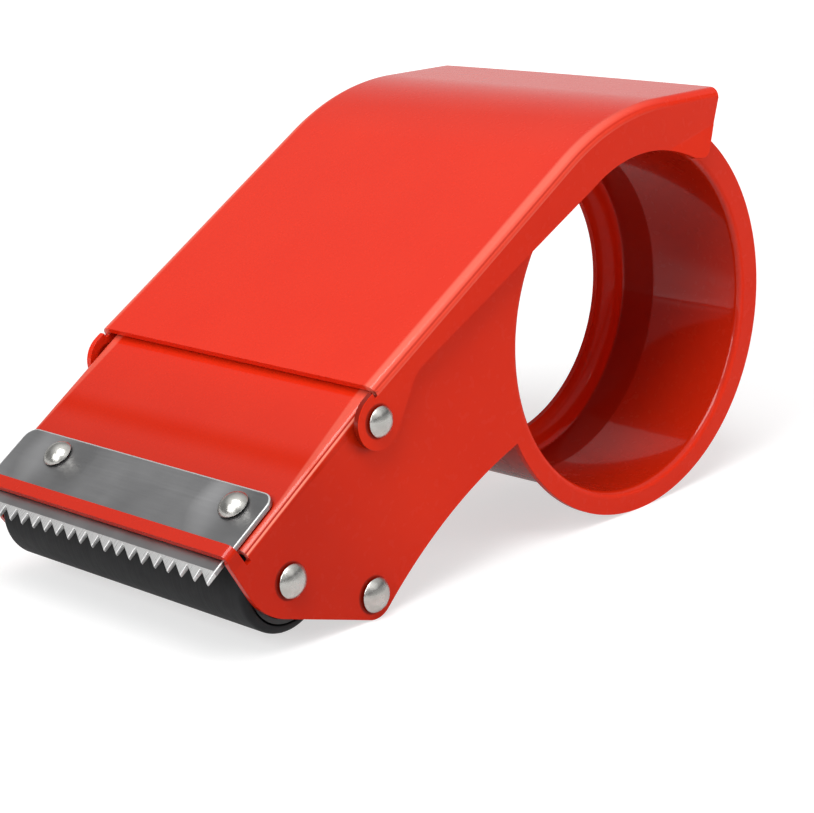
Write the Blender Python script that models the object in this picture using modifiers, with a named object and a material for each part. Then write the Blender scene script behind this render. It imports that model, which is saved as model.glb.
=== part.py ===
"""Hand-held packing tape dispenser of folded and drawn sheet steel, for tape up to 66 mm wide.

Lengths are in metres. The outline is drawn in the frame's own plane: x runs to the rear
along the cover's straight top, z stands square to it, and x = z = 0 lies near the drum's axis.
The empty named rest_pose turns that plane until the ring and the heel of the side plates
stand on the ground, and puts the origin under the middle of the bounding box.
The side with the ring is -Y, the open side that takes the tape roll is +Y.
"""
import math

import bmesh
import bpy
from mathutils import Matrix, Vector

# sheet metal and fits
SHEET = 0.0012             # thickness of the folded and drawn steel
FIT = 0.0003               # paint-thick gap between pieces that lie on each other
RUN = 0.0003               # running gap round a pin
SIDE_GAP = 0.0008          # room between the side plates and the cover that swings over them
OVERRUN = 0.0040           # how far a cutter passes the face that it cuts

# cover
COVER_WIDTH = 0.0755
COVER_TOP_Z = 0.0394       # outer face of the straight top
COVER_FRONT_X = -0.0612    # front edge of the top
COVER_BEND_R = 0.0030      # outer radius of its two long bends
ARCH_START_X = 0.0002      # where the straight top begins to turn down
ARCH_R = 0.0540            # outer radius of the arch
ARCH_TURN = math.radians(31.2)
TAIL_LENGTH = 0.0172       # straight tail behind the arch
TAIL_BOW = 0.0011          # how far the tail's edge bows out in the middle
FLANGE_DEPTH = 0.0180      # blank depth of the side flanges before they are trimmed
LUG_R = 0.0052             # flat round ear about each hinge rivet
BAND_FRONT_X = -0.0454     # lower edge of the flange, front point
BAND_FRONT_Z = 0.0338
BAND_REAR_X = 0.0026       # and rear point, where the round cut-out starts
BAND_REAR_Z = 0.0304
EAR_END_X = -0.0519        # where the ear runs out into that edge
EAR_FILLET = 0.0060
CUTOUT_R = 0.0318          # round cut-out that clears the drum's mouth
CUTOUT_STOP = math.radians(33.2)            # where it ends, below its rear
LOBE_TIP_X = 0.0322        # rounded thumb lobe behind the cut-out
LOBE_TIP_Z = 0.0136
LOBE_TIP_R = 0.0022
LOBE_BACK_X = 0.0376
LOBE_BACK_Z = 0.0173
LOBE_BACK_R = 0.0060
CREASE_FRONT_X = 0.0211    # crease across the lobe, from the cut-out to the rear edge
CREASE_FRONT_Z = 0.0230
CREASE_REAR_X = 0.0388
CREASE_REAR_Z = 0.0175
CREASE_ANGLE = math.radians(9.0)

# folded frame: front web, two side plates
WEB_KINK_X = -0.0600       # under the cover the web runs level with it, then it drops
WEB_REAR_X = -0.0500
WEB_GAP = 0.0008           # gap to the cover above the level part
WEB_SLOPE = math.radians(2.9)
WEB_LENGTH = 0.0377        # from the kink to the blade's slot
FRAME_BEND_R = 0.0015
LIP_GAP = 0.0011           # slot length between web and lip
LIP_WIDTH = 0.0025         # raised lip that bridges the blade
RELIEF = 0.0007            # corner relief beside a bend
BELLY_RISE = 0.0023        # hollow of the lower edge between heel and ring
BELLY_START = math.radians(-75.0)
BELLY_END = math.radians(175.0)
NOSE_LEAD = 0.0002         # front edge of the side plates ahead of the lip
NOSE_R = 0.0130
CHIN_ANGLE = math.radians(131.5)
HEEL_R = 0.0046            # outline radius round the rear rod
CHEEK_WAIST_X = -0.0640    # rear edge of the far plate
CHEEK_WAIST_Z = 0.0200
CHEEK_FILLET = 0.0140

# ring and drawn drum
BORE_R = 0.0340
RING_WIDTH = 0.0053        # from the bore to the ring's outer edge
RING_X = 0.0008            # centre of that edge
RING_Z = -0.0008
DRUM_X = 0.0002            # the drum is drawn a little off it
DRUM_Z = -0.0012
COLLAR_R = 0.0015          # rounding of the drum's mouth
COLLAR_DEPTH = 0.0045
DRUM_DEPTH = 0.0358        # from the ring's outer face to the far lip
LIP_CORNER_R = 0.0042      # inner radius of the drum's turned-in lip

# pins
HINGE_X = -0.0634
HINGE_Z = 0.0333
AXLE_BACK = 0.0083         # the axle and the rear rod lie this far behind the nose
AXLE_Z = 0.0236
ROD_BACK = 0.0207
ROD_Z = 0.0065
HINGE_PIN_R = 0.0018
HINGE_HEAD_R = 0.0029
HINGE_HEAD_H = 0.0015
AXLE_PIN_R = 0.0021
AXLE_HEAD_R = 0.0032
AXLE_HEAD_H = 0.0017
ROD_HEAD_R = 0.0033
ROD_PIN_R = 0.0021
UPSET_R = 0.0024           # formed inner head of a rivet
UPSET_H = 0.0008
SPACER_R = 0.0036
SPACER_WALL = 0.0011

# blade
BLADE_T = 0.0010
BLADE_SEAT = 0.0113        # what lies on the web, behind the slot
BLADE_REACH = 0.0061       # from the slot to the roots of the teeth
TOOTH_DEPTH = 0.0023
TOOTH_COUNT = 20
BLADE_CORNER_R = 0.0025
BLADE_RIVET_BACK = 0.0071  # rivets behind the slot
BLADE_RIVET_NEAR = 0.0069  # and inside the near end of the blade
BLADE_RIVET_FAR = 0.0126   # and its far end
BLADE_RIVET_R = 0.0017
BLADE_HEAD_R = 0.0030
BLADE_HEAD_H = 0.0017

# front roller
ROLLER_R = 0.0098
BUSH_LENGTH = 0.0060       # bush in each end of the core
ROLLER_EDGE = 0.0012       # chamfer of the tyre
TYRE_WALL = 0.0016
CORE_RIM = 0.0010
CORE_HUB_WALL = 0.0011
CORE_SPOKE = 0.0013
SPOKES = 6
BUSH_WALL = 0.0009

# how finely round shapes are cut
RING_STEPS = 72
PIN_STEPS = 24
BEND_STEPS = 5
ARC_STEPS = 12

# values that follow from the sizes above
COVER_HALF = COVER_WIDTH / 2
PLATE_Y = COVER_HALF - SHEET - SIDE_GAP     # outer face of the side plates
INNER_Y = PLATE_Y - SHEET                   # inner face of the side plates
BEND_IN_R = COVER_BEND_R - SHEET - FIT      # the plates' top edge stays inside this circle
PLATE_TOP_Z = COVER_TOP_Z - COVER_BEND_R + math.sqrt(
    BEND_IN_R ** 2 - (PLATE_Y - COVER_HALF + COVER_BEND_R) ** 2)
WEB_Z = COVER_TOP_Z - SHEET - WEB_GAP
BLADE_RAISE = FIT + BLADE_T                 # upper face of the blade over the web
LIP_RAISE = BLADE_RAISE + FIT + SHEET       # outer face of the lip over the web's
ARCH_CENTRE = Vector((ARCH_START_X, COVER_TOP_Z - ARCH_R))
RING_R = BORE_R + RING_WIDTH
BLADE_FAR_Y = INNER_Y - FIT                 # the blade fills its slot
BLADE_NEAR_Y = -BLADE_FAR_Y
BLADE_TOP_S = WEB_LENGTH - BLADE_SEAT       # distances along the web, from its kink
BLADE_RIVET_S = WEB_LENGTH - BLADE_RIVET_BACK
TOOTH_ROOT_S = WEB_LENGTH + BLADE_REACH
TOOTH_TIP_S = TOOTH_ROOT_S + TOOTH_DEPTH
BLADE_RIVET_YS = (BLADE_NEAR_Y + BLADE_RIVET_NEAR, BLADE_FAR_Y - BLADE_RIVET_FAR)
ROLLER_LENGTH = 2 * (INNER_Y - FIT)
BUSH_IN_R = AXLE_PIN_R + RUN
CORE_BORE_R = BUSH_IN_R + BUSH_WALL + FIT
CORE_HUB_R = CORE_BORE_R + CORE_HUB_WALL
LIP_REAR_S = WEB_LENGTH + LIP_GAP
LIP_FRONT_S = LIP_REAR_S + LIP_WIDTH


def polar(centre, radius, angle):
    """Point on a circle in the x-z plane; the angle counts from +x towards +z."""
    return Vector((centre[0] + radius * math.cos(angle), centre[1] + radius * math.sin(angle)))


def arc(centre, radius, start, end, steps):
    """Points from one angle to another, both ends included."""
    return [polar(centre, radius, start + (end - start) * i / steps) for i in range(steps + 1)]


def circle(centre, radius, steps):
    return [polar(centre, radius, math.tau * i / steps) for i in range(steps)]


def fillet(before, corner, after, radius, steps):
    """Arc that rounds the corner between two straight edges."""
    a = (Vector(before) - Vector(corner)).normalized()
    b = (Vector(after) - Vector(corner)).normalized()
    half = a.angle(b) / 2
    centre = Vector(corner) + (a + b).normalized() * radius / math.sin(half)
    first = Vector(corner) + a * radius / math.tan(half) - centre
    last = Vector(corner) + b * radius / math.tan(half) - centre
    start = math.atan2(first.y, first.x)
    turn = math.remainder(math.atan2(last.y, last.x) - start, math.tau)
    return arc(centre, radius, start, start + turn, steps)


def web_point(s, rise=0.0):
    """Point on the sloping web: s runs forward from its kink, rise goes outward."""
    along = Vector((-math.cos(WEB_SLOPE), -math.sin(WEB_SLOPE)))
    outward = Vector((-math.sin(WEB_SLOPE), math.cos(WEB_SLOPE)))
    return Vector((WEB_KINK_X, WEB_Z)) + along * s + outward * rise


def circles_meet(c0, r0, c1, r1):
    """The meeting point of two circles that lies further along +x."""
    span = Vector(c1) - Vector(c0)
    d = span.length
    along = (r0 * r0 - r1 * r1 + d * d) / (2 * d)
    side = math.sqrt(r0 * r0 - along * along)
    unit = span / d
    normal = Vector((-unit.y, unit.x))
    both = [Vector(c0) + unit * along + normal * side, Vector(c0) + unit * along - normal * side]
    return max(both, key=lambda p: p.x)


def angle_of(centre, point):
    return math.atan2(point[1] - centre[1], point[0] - centre[0])


NOSE_X = web_point(LIP_FRONT_S, LIP_RAISE).x - NOSE_LEAD
AXLE_X = NOSE_X + AXLE_BACK
ROD_X = NOSE_X + ROD_BACK

# rest pose: one line touches the ring and the heel from below
ring_centre = Vector((RING_X, RING_Z))
rod_centre = Vector((ROD_X, ROD_Z))
axle_centre = Vector((AXLE_X, AXLE_Z))
hinge_centre = Vector((HINGE_X, HINGE_Z))
heel_to_ring = ring_centre - rod_centre
REST_TURN = math.asin((RING_R - HEEL_R) / heel_to_ring.length) - math.atan2(
    heel_to_ring.y, heel_to_ring.x)


def turned_to_rest(p):
    c, s = math.cos(REST_TURN), math.sin(REST_TURN)
    return Vector((p[0] * c - p[1] * s, p[0] * s + p[1] * c))


front_end = turned_to_rest(web_point(TOOTH_TIP_S, BLADE_RAISE)).x
rear_end = turned_to_rest(ring_centre).x + RING_R
ground = turned_to_rest(ring_centre).y - RING_R

# scene
for old in list(bpy.data.objects):
    bpy.data.objects.remove(old, do_unlink=True)
parts = bpy.data.collections.new("packing_tape_dispenser")
cutters = bpy.data.collections.new("cutters")
for group in (parts, cutters):
    bpy.context.scene.collection.children.link(group)
rest = bpy.data.objects.new("rest_pose", None)
rest.rotation_euler = (0, -REST_TURN, 0)
rest.location = (-(front_end + rear_end) / 2, 0, -ground)
parts.objects.link(rest)


def material(name, colour, metallic, roughness, coat=0.0):
    mat = bpy.data.materials.new(name)
    mat.use_nodes = True
    shader = mat.node_tree.nodes["Principled BSDF"]
    shader.inputs["Base Color"].default_value = (*colour, 1)
    shader.inputs["Metallic"].default_value = metallic
    shader.inputs["Roughness"].default_value = roughness
    shader.inputs["Coat Weight"].default_value = coat
    return mat


RED = (0.74, 0.022, 0.014)
NICKEL = (0.72, 0.70, 0.67)
STEEL = (0.30, 0.30, 0.31)
BLACK = (0.018, 0.018, 0.019)


def add(name, data, colour, metallic, roughness, coat=0.0, at=(0, 0, 0), turn=(0, 0, 0)):
    """Link a finished piece under the rest pose, with a material of its own."""
    ob = bpy.data.objects.new(name, data)
    data.materials.append(material(name, colour, metallic, roughness, coat))
    ob.location, ob.rotation_euler, ob.parent = at, turn, rest
    parts.objects.link(ob)
    return ob


def add_cutter(name, data, at=(0, 0, 0), turn=(0, 0, 0)):
    ob = bpy.data.objects.new(name, data)
    ob.location, ob.rotation_euler, ob.parent = at, turn, rest
    ob.hide_render, ob.display_type = True, "WIRE"
    cutters.objects.link(ob)
    return ob


def cut(ob, tool, operation="DIFFERENCE"):
    mod = ob.modifiers.new(tool.name, "BOOLEAN")
    mod.object, mod.operation, mod.solver = tool, operation, "EXACT"


def smooth(mesh, angle=math.radians(30.0)):
    mesh.shade_smooth()
    mesh.set_sharp_from_angle(angle=angle)


def fill(bm, loops):
    """Flat face bounded by the first loop of 3-D points and holed by the others."""
    edges = []
    for loop in loops:
        verts = [bm.verts.new(p) for p in loop]
        edges += [bm.edges.new((verts[i - 1], verts[i])) for i in range(len(verts))]
    bmesh.ops.triangle_fill(bm, use_beauty=True, use_dissolve=False, edges=edges)


def strip(bm, rows):
    """Quads between neighbouring rows of points."""
    made = [[bm.verts.new(p) for p in row] for row in rows]
    for a, b in zip(made, made[1:]):
        for i in range(len(a) - 1):
            bm.faces.new((a[i], a[i + 1], b[i + 1], b[i]))


def shell_mesh(name, bm, direction):
    """Weld the faces; the one that lies furthest in a direction ends up facing that way."""
    bmesh.ops.remove_doubles(bm, verts=bm.verts, dist=FIT / 100)
    bmesh.ops.recalc_face_normals(bm, faces=bm.faces)
    face = max(bm.faces, key=lambda f: f.calc_center_median().dot(Vector(direction)))
    if face.normal.dot(Vector(direction)) < 0:
        bmesh.ops.reverse_faces(bm, faces=bm.faces)
    mesh = bpy.data.meshes.new(name)
    bm.to_mesh(mesh)
    bm.free()
    return mesh


def thicken(ob):
    mod = ob.modifiers.new("sheet", "SOLIDIFY")
    mod.thickness, mod.offset = SHEET, -1.0
    mod.use_even_offset = mod.use_quality_normals = True


def outline_curve(name, loops, depth):
    """Flat outline in local x-y, filled and extruded to the full depth."""
    curve = bpy.data.curves.new(name, "CURVE")
    curve.dimensions, curve.fill_mode, curve.extrude = "2D", "BOTH", depth / 2
    for loop in loops:
        spline = curve.splines.new("POLY")
        spline.points.add(len(loop) - 1)
        for point, p in zip(spline.points, loop):
            point.co = (p[0], p[1], 0, 1)
        spline.use_cyclic_u = True
    return curve


def as_mesh(curve):
    """Mesh of a filled curve, with its caps welded on."""
    holder = bpy.data.objects.new(curve.name, curve)
    cutters.objects.link(holder)
    bpy.context.view_layer.update()
    evaluated = holder.evaluated_get(bpy.context.evaluated_depsgraph_get())
    mesh = bpy.data.meshes.new_from_object(evaluated)
    bpy.data.objects.remove(holder, do_unlink=True)
    bm = bmesh.new()
    bm.from_mesh(mesh)
    bmesh.ops.remove_doubles(bm, verts=bm.verts, dist=FIT / 100)
    bmesh.ops.recalc_face_normals(bm, faces=bm.faces)
    bm.to_mesh(mesh)
    bm.free()
    return mesh


UPRIGHT = (math.radians(90.0), 0, 0)        # local x-y of a flat outline becomes x-z
ALONG_Y = (math.radians(-90.0), 0, 0)       # local z of a turned piece becomes y


def turned(name, profile, steps, look, centre, y=0.0, closed=False, turn=ALONG_Y):
    """Revolve a profile of (radius, height) about the local z axis."""
    mesh = bpy.data.meshes.new(name)
    count = len(profile)
    edges = [(i, i + 1) for i in range(count - 1)] + ([(count - 1, 0)] if closed else [])
    mesh.from_pydata([(r, 0, h) for r, h in profile], edges, [])
    ob = add(name, mesh, *look, at=(centre[0], y, centre[1]), turn=turn)
    screw = ob.modifiers.new("turn", "SCREW")
    screw.steps = screw.render_steps = steps
    screw.use_merge_vertices, screw.merge_threshold = True, FIT / 100
    screw.use_smooth_shade = True
    return ob


def dome(radius, height, base, steps):
    """Rivet head from its crown down to its rim; height counts upward from the base."""
    ball = (radius * radius + height * height) / (2 * height)
    reach = math.asin(min(1.0, radius / ball))
    return [(ball * math.sin(reach * i / steps),
             base + height - ball * (1 - math.cos(reach * i / steps))) for i in range(steps + 1)]


PAINT = (RED, 0.0, 0.22, 0.6)
BRIGHT = (NICKEL, 1.0, 0.22)
PLAIN_STEEL = (STEEL, 1.0, 0.34)
RUBBER = (BLACK, 0.0, 0.55)
PLASTIC = (BLACK, 0.0, 0.42)


# frame: near plate with the ring, web and far plate, folded from one sheet
def fold_edge(p):
    """Where the bend below an outer web point starts on the side plate."""
    return Vector((p[0], p[1] - FRAME_BEND_R))


def tangent_angle(centre, radius, point):
    """Where a counterclockwise circle is left on a straight line to a point."""
    span = Vector(point) - Vector(centre)
    return math.atan2(span.y, span.x) - math.acos(radius / span.length)


web_rear = Vector((WEB_REAR_X, WEB_Z))
web_stations = [web_rear, web_point(0), web_point(WEB_LENGTH)]
lip_stations = [web_point(LIP_REAR_S, LIP_RAISE), web_point(LIP_FRONT_S, LIP_RAISE)]
relief = Vector((0, -RELIEF))

chin = Vector((math.cos(CHIN_ANGLE), math.sin(CHIN_ANGLE)))
chin_foot = polar(rod_centre, HEEL_R, CHIN_ANGLE + math.pi / 2)
chin_corner = chin_foot + chin * (NOSE_X - chin_foot.x) / chin.x
lip_front = fold_edge(lip_stations[1])
nose_top = Vector((NOSE_X, lip_front.y - RELIEF))
front_outline = (
    [fold_edge(p) for p in web_stations]
    + [fold_edge(web_stations[2]) + relief, fold_edge(web_point(LIP_REAR_S)) + relief]
    + [fold_edge(lip_stations[0]), lip_front, nose_top]
    + fillet(nose_top, chin_corner, chin_foot, NOSE_R, BEND_STEPS))

heel_start = CHIN_ANGLE + math.pi / 2
belly_from = polar(rod_centre, HEEL_R, BELLY_START)
belly_to = polar(ring_centre, RING_R, BELLY_END)
half_chord = (belly_to - belly_from).length / 2
belly_r = (half_chord ** 2 + BELLY_RISE ** 2) / (2 * BELLY_RISE)
across = (belly_to - belly_from).normalized()
belly_centre = (belly_from + belly_to) / 2 + Vector((across.y, -across.x)) * (belly_r - BELLY_RISE)
top_edge_r = ARCH_R - (COVER_TOP_Z - PLATE_TOP_Z)
ring_top = circles_meet(ring_centre, RING_R, ARCH_CENTRE, top_edge_r)
near_outline = (
    front_outline
    + arc(rod_centre, HEEL_R, heel_start, BELLY_START + math.tau, BEND_STEPS)
    + arc(belly_centre, belly_r, angle_of(belly_centre, belly_from),
          angle_of(belly_centre, belly_to), ARC_STEPS)[1:-1]
    + arc(ring_centre, RING_R, BELLY_END, angle_of(ring_centre, ring_top) + math.tau,
          RING_STEPS * 3 // 4)
    + arc(ARCH_CENTRE, top_edge_r, angle_of(ARCH_CENTRE, ring_top), math.pi / 2, ARC_STEPS)[1:]
    + [Vector((WEB_REAR_X + RELIEF, PLATE_TOP_Z)),
       Vector((WEB_REAR_X + RELIEF, fold_edge(web_rear).y - RELIEF)),
       Vector((WEB_REAR_X, fold_edge(web_rear).y - RELIEF))])

waist = Vector((CHEEK_WAIST_X, CHEEK_WAIST_Z))
cheek_leave = tangent_angle(rod_centre, HEEL_R, waist)
far_outline = (
    front_outline
    + arc(rod_centre, HEEL_R, heel_start, cheek_leave + math.tau, BEND_STEPS)
    + fillet(polar(rod_centre, HEEL_R, cheek_leave), waist, fold_edge(web_rear),
             CHEEK_FILLET, BEND_STEPS))

pin_holes = [circle(axle_centre, AXLE_PIN_R + FIT, PIN_STEPS),
             circle(rod_centre, ROD_PIN_R + FIT, PIN_STEPS),
             circle(hinge_centre, HINGE_PIN_R + FIT, PIN_STEPS)]
drum_centre = (DRUM_X, DRUM_Z)
mouth = circle(drum_centre, BORE_R + COLLAR_R, RING_STEPS)

bm = bmesh.new()
fill(bm, [[(p[0], -PLATE_Y, p[1]) for p in loop] for loop in [near_outline, mouth] + pin_holes])
fill(bm, [[(p[0], PLATE_Y, p[1]) for p in loop] for loop in [far_outline] + pin_holes])


def bend_row(p, side):
    """Quarter bend from the side plate up to an outer web point."""
    row = []
    for i in range(BEND_STEPS + 1):
        a = math.pi / 2 * i / BEND_STEPS
        row.append((p[0], side * (PLATE_Y - FRAME_BEND_R * (1 - math.cos(a))),
                    p[1] - FRAME_BEND_R * (1 - math.sin(a))))
    return row


for side in (-1, 1):
    strip(bm, [bend_row(p, side) for p in web_stations])
strip(bm, [bend_row(p, -1) + bend_row(p, 1)[::-1] for p in lip_stations])
flat = PLATE_Y - FRAME_BEND_R
strip(bm, [[(p[0], -flat, p[1]), (p[0], flat, p[1])] for p in web_stations[:2]])


def on_web(s, y, rise=0.0):
    p = web_point(s, rise)
    return (p[0], y, p[1])


web_loops = [[on_web(0, -flat), on_web(WEB_LENGTH, -flat), on_web(WEB_LENGTH, flat),
              on_web(0, flat)]]
for y in BLADE_RIVET_YS:
    web_loops.append([on_web(q[0], q[1]) for q in circle(
        (BLADE_RIVET_S, y), BLADE_RIVET_R + FIT, PIN_STEPS)])
fill(bm, web_loops)

collar_rows = []
for i in range(BEND_STEPS + 1):
    a = math.pi / 2 * i / BEND_STEPS
    collar_rows.append((BORE_R + COLLAR_R * (1 - math.sin(a)),
                        -PLATE_Y + COLLAR_R * (1 - math.cos(a))))
collar_rows.append((BORE_R, -PLATE_Y + COLLAR_DEPTH))
rows = []
for r, y in collar_rows:
    ring = [(p[0], y, p[1]) for p in circle(drum_centre, r, RING_STEPS)]
    rows.append(ring + ring[:1])
strip(bm, rows)
frame_mesh = shell_mesh("frame", bm, (0, -1, 0))
smooth(frame_mesh)
frame = add("frame", frame_mesh, *PAINT)
thicken(frame)

# drum: drawn sleeve that carries the tape core, its far end turned in
drum_near = -PLATE_Y + COLLAR_DEPTH + FIT
drum_far = -PLATE_Y + DRUM_DEPTH
lip_hole_r = BORE_R - LIP_CORNER_R
corner_y = drum_far - LIP_CORNER_R - SHEET
outer = [(lip_hole_r + q[0], corner_y + q[1]) for q in arc(
    (0, 0), LIP_CORNER_R + SHEET, math.pi / 2, 0, BEND_STEPS)]
inner = [(lip_hole_r + q[0], corner_y + q[1]) for q in arc(
    (0, 0), LIP_CORNER_R, 0, math.pi / 2, BEND_STEPS)]
turned("tape_drum", outer + [(BORE_R + SHEET, drum_near), (BORE_R, drum_near)] + inner,
       RING_STEPS, PAINT, drum_centre, closed=True)

# cover: top with two long bends and side flanges, trimmed to its outline
tail_dir = Vector((math.cos(ARCH_TURN), -math.sin(ARCH_TURN)))
tail_out = Vector((math.sin(ARCH_TURN), math.cos(ARCH_TURN)))
tail_start = polar(ARCH_CENTRE, ARCH_R, math.pi / 2 - ARCH_TURN)
tail_end = tail_start + tail_dir * TAIL_LENGTH
blank_front = HINGE_X - LUG_R - OVERRUN
ear_top_x = COVER_FRONT_X - RELIEF
stations = [(Vector((COVER_FRONT_X, COVER_TOP_Z)), Vector((0, 1)))]
for p in arc(ARCH_CENTRE, ARCH_R, math.pi / 2, math.pi / 2 - ARCH_TURN, ARC_STEPS):
    stations.append((p, (p - ARCH_CENTRE).normalized()))
stations.append((tail_end + tail_dir * OVERRUN, tail_out))


def cover_row(p, outward):
    """Cross-section of the blank: flange, bend, top, bend, flange."""
    half = []
    for i in range(BEND_STEPS + 1):
        a = math.pi / 2 * i / BEND_STEPS
        drop = COVER_BEND_R * (1 - math.sin(a))
        half.append((p - outward * drop, COVER_HALF - COVER_BEND_R * (1 - math.cos(a))))
    half.insert(0, (p - outward * FLANGE_DEPTH, COVER_HALF))
    near = [(q[0], -y, q[1]) for q, y in half]
    far = [(q[0], y, q[1]) for q, y in half]
    return near + far[::-1]


bm = bmesh.new()
strip(bm, [cover_row(p, outward) for p, outward in stations])
for side in (-1, 1):
    low, bend, high = [(side * COVER_HALF, COVER_TOP_Z - drop)
                       for drop in (FLANGE_DEPTH, COVER_BEND_R, 0)]
    strip(bm, [[(x, *low), (x, *bend)] for x in (blank_front, ear_top_x, COVER_FRONT_X)])
    strip(bm, [[(x, *bend), (x, *high)] for x in (blank_front, ear_top_x)])
bmesh.ops.remove_doubles(bm, verts=bm.verts, dist=FIT / 100)

# crease across both thumb lobes: what lies below it leans outward
crease = Vector((CREASE_REAR_X - CREASE_FRONT_X, CREASE_REAR_Z - CREASE_FRONT_Z)).normalized()
below = Vector((crease.y, -crease.x))
lobe_faces = [f for f in bm.faces if abs(f.calc_center_median().y) > COVER_HALF - FIT
              and f.calc_center_median().x > ARCH_START_X]
lobe_geom = lobe_faces + list({e for f in lobe_faces for e in f.edges}) + list(
    {v for f in lobe_faces for v in f.verts})
bmesh.ops.bisect_plane(bm, geom=lobe_geom, dist=FIT / 100,
                       plane_co=(CREASE_FRONT_X, 0, CREASE_FRONT_Z),
                       plane_no=(below.x, 0, below.y))
for v in bm.verts:
    depth = (v.co.x - CREASE_FRONT_X) * below.x + (v.co.z - CREASE_FRONT_Z) * below.y
    if abs(v.co.y) > COVER_HALF - FIT and v.co.x > ARCH_START_X and depth > 0:
        v.co.y += math.copysign(depth * math.tan(CREASE_ANGLE), v.co.y)
cover_mesh = shell_mesh("cover", bm, (0, 0, 1))
smooth(cover_mesh)
cover = add("cover", cover_mesh, *PAINT, at=(HINGE_X, 0, HINGE_Z))
cover_mesh.transform(Matrix.Translation((-HINGE_X, 0, -HINGE_Z)))
thicken(cover)

band_front = Vector((BAND_FRONT_X, BAND_FRONT_Z))
band_rear = Vector((BAND_REAR_X, BAND_REAR_Z))
ear_end = band_front + (band_front - band_rear) * (
    (EAR_END_X - BAND_FRONT_X) / (BAND_FRONT_X - BAND_REAR_X))
ear_leave = tangent_angle(hinge_centre, LUG_R, ear_end)
cutout_centre = (BAND_REAR_X, BAND_REAR_Z - CUTOUT_R)
cutout_end = polar(cutout_centre, CUTOUT_R, CUTOUT_STOP)
lobe_tip = Vector((LOBE_TIP_X, LOBE_TIP_Z))
lobe_back = Vector((LOBE_BACK_X, LOBE_BACK_Z))
tail_under = tail_end - tail_out * COVER_BEND_R
slit_x = (COVER_FRONT_X + ear_top_x) / 2
outline = (
    [Vector((slit_x, COVER_TOP_Z + OVERRUN)), Vector((slit_x, HINGE_Z + LUG_R))]
    + arc(hinge_centre, LUG_R, math.pi / 2, ear_leave + math.tau, ARC_STEPS)
    + fillet(polar(hinge_centre, LUG_R, ear_leave), ear_end, band_rear, EAR_FILLET, BEND_STEPS)
    + arc(cutout_centre, CUTOUT_R, math.pi / 2, CUTOUT_STOP, ARC_STEPS)
    + fillet(cutout_end, lobe_tip, lobe_back, LOBE_TIP_R, BEND_STEPS)
    + fillet(lobe_tip, lobe_back, tail_under, LOBE_BACK_R, BEND_STEPS)
    + [tail_under, tail_under + tail_dir * OVERRUN,
       tail_end + (tail_dir + tail_out) * OVERRUN]
    + arc(ARCH_CENTRE, ARCH_R + OVERRUN, math.pi / 2 - ARCH_TURN, math.pi / 2, ARC_STEPS))
blank_cut = outline_curve("cover_outline", [outline], COVER_WIDTH + 2 * OVERRUN)
cut(cover, add_cutter("cover_outline", as_mesh(blank_cut), turn=UPRIGHT), "INTERSECT")

bowed = []
for i in range(ARC_STEPS + 1):
    y = (COVER_HALF + OVERRUN) * (2 * i / ARC_STEPS - 1)
    bowed.append((TAIL_BOW * (1 - (y / COVER_HALF) ** 2), y))
bowed += [(2 * OVERRUN, COVER_HALF + OVERRUN), (2 * OVERRUN, -COVER_HALF - OVERRUN)]
bow_cut = outline_curve("tail_bow", [bowed], 2 * (COVER_BEND_R + OVERRUN))
cut(cover, add_cutter("tail_bow", as_mesh(bow_cut), at=(tail_end.x, 0, tail_end.y),
                      turn=(0, ARCH_TURN, 0)))


def pin_cutter(name, centre, radius, length):
    mesh = bpy.data.meshes.new(name)
    bm = bmesh.new()
    bmesh.ops.create_cone(bm, cap_ends=True, segments=PIN_STEPS, radius1=radius,
                          radius2=radius, depth=length)
    bm.to_mesh(mesh)
    bm.free()
    return add_cutter(name, mesh, at=(centre[0], 0, centre[1]), turn=UPRIGHT)


cut(cover, pin_cutter("hinge_holes", hinge_centre, HINGE_PIN_R + RUN, COVER_WIDTH + OVERRUN))

# blade: flat saw blade that slips under the lip
WEB_FRAME = Matrix(((-math.cos(WEB_SLOPE), 0, -math.sin(WEB_SLOPE)), (0, -1, 0),
                    (-math.sin(WEB_SLOPE), 0, math.cos(WEB_SLOPE)))).to_euler()
pitch = (BLADE_FAR_Y - BLADE_NEAR_Y) / TOOTH_COUNT
teeth = []
for i in range(TOOTH_COUNT):
    start = -BLADE_FAR_Y + i * pitch
    teeth += [(TOOTH_ROOT_S, start), (TOOTH_TIP_S, start + pitch)]
corners = [(BLADE_TOP_S, -BLADE_NEAR_Y), (BLADE_TOP_S, -BLADE_FAR_Y)]
blade_outline = (
    teeth
    + fillet(teeth[-1], corners[0], corners[1], BLADE_CORNER_R, BEND_STEPS)
    + fillet(corners[0], corners[1], teeth[0], BLADE_CORNER_R, BEND_STEPS))
blade_holes = [circle((BLADE_RIVET_S, -y), BLADE_RIVET_R + FIT, PIN_STEPS)
               for y in BLADE_RIVET_YS]
kink = web_point(0, FIT + BLADE_T / 2)
add("cutter_blade", outline_curve("cutter_blade", [blade_outline] + blade_holes, BLADE_T),
    *PLAIN_STEEL, at=(kink.x, 0, kink.y), turn=WEB_FRAME)


# rivets and pins
def rivet_profile(head_r, head_h, pin_r, head_base, upset_base):
    """Domed head, shank and formed inner head, from the crown inward."""
    return dome(head_r, head_h, head_base, BEND_STEPS) + [
        (pin_r, head_base), (pin_r, upset_base), (UPSET_R, upset_base),
        (UPSET_R, upset_base - UPSET_H / 2), (pin_r, upset_base - UPSET_H),
        (0, upset_base - UPSET_H)]


def double_profile(head_r, head_h, pin_r, head_base):
    """Pin with a domed head at both ends."""
    top = dome(head_r, head_h, head_base, BEND_STEPS) + [(pin_r, head_base)]
    return top + [(r, -h) for r, h in top[::-1]]


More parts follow.
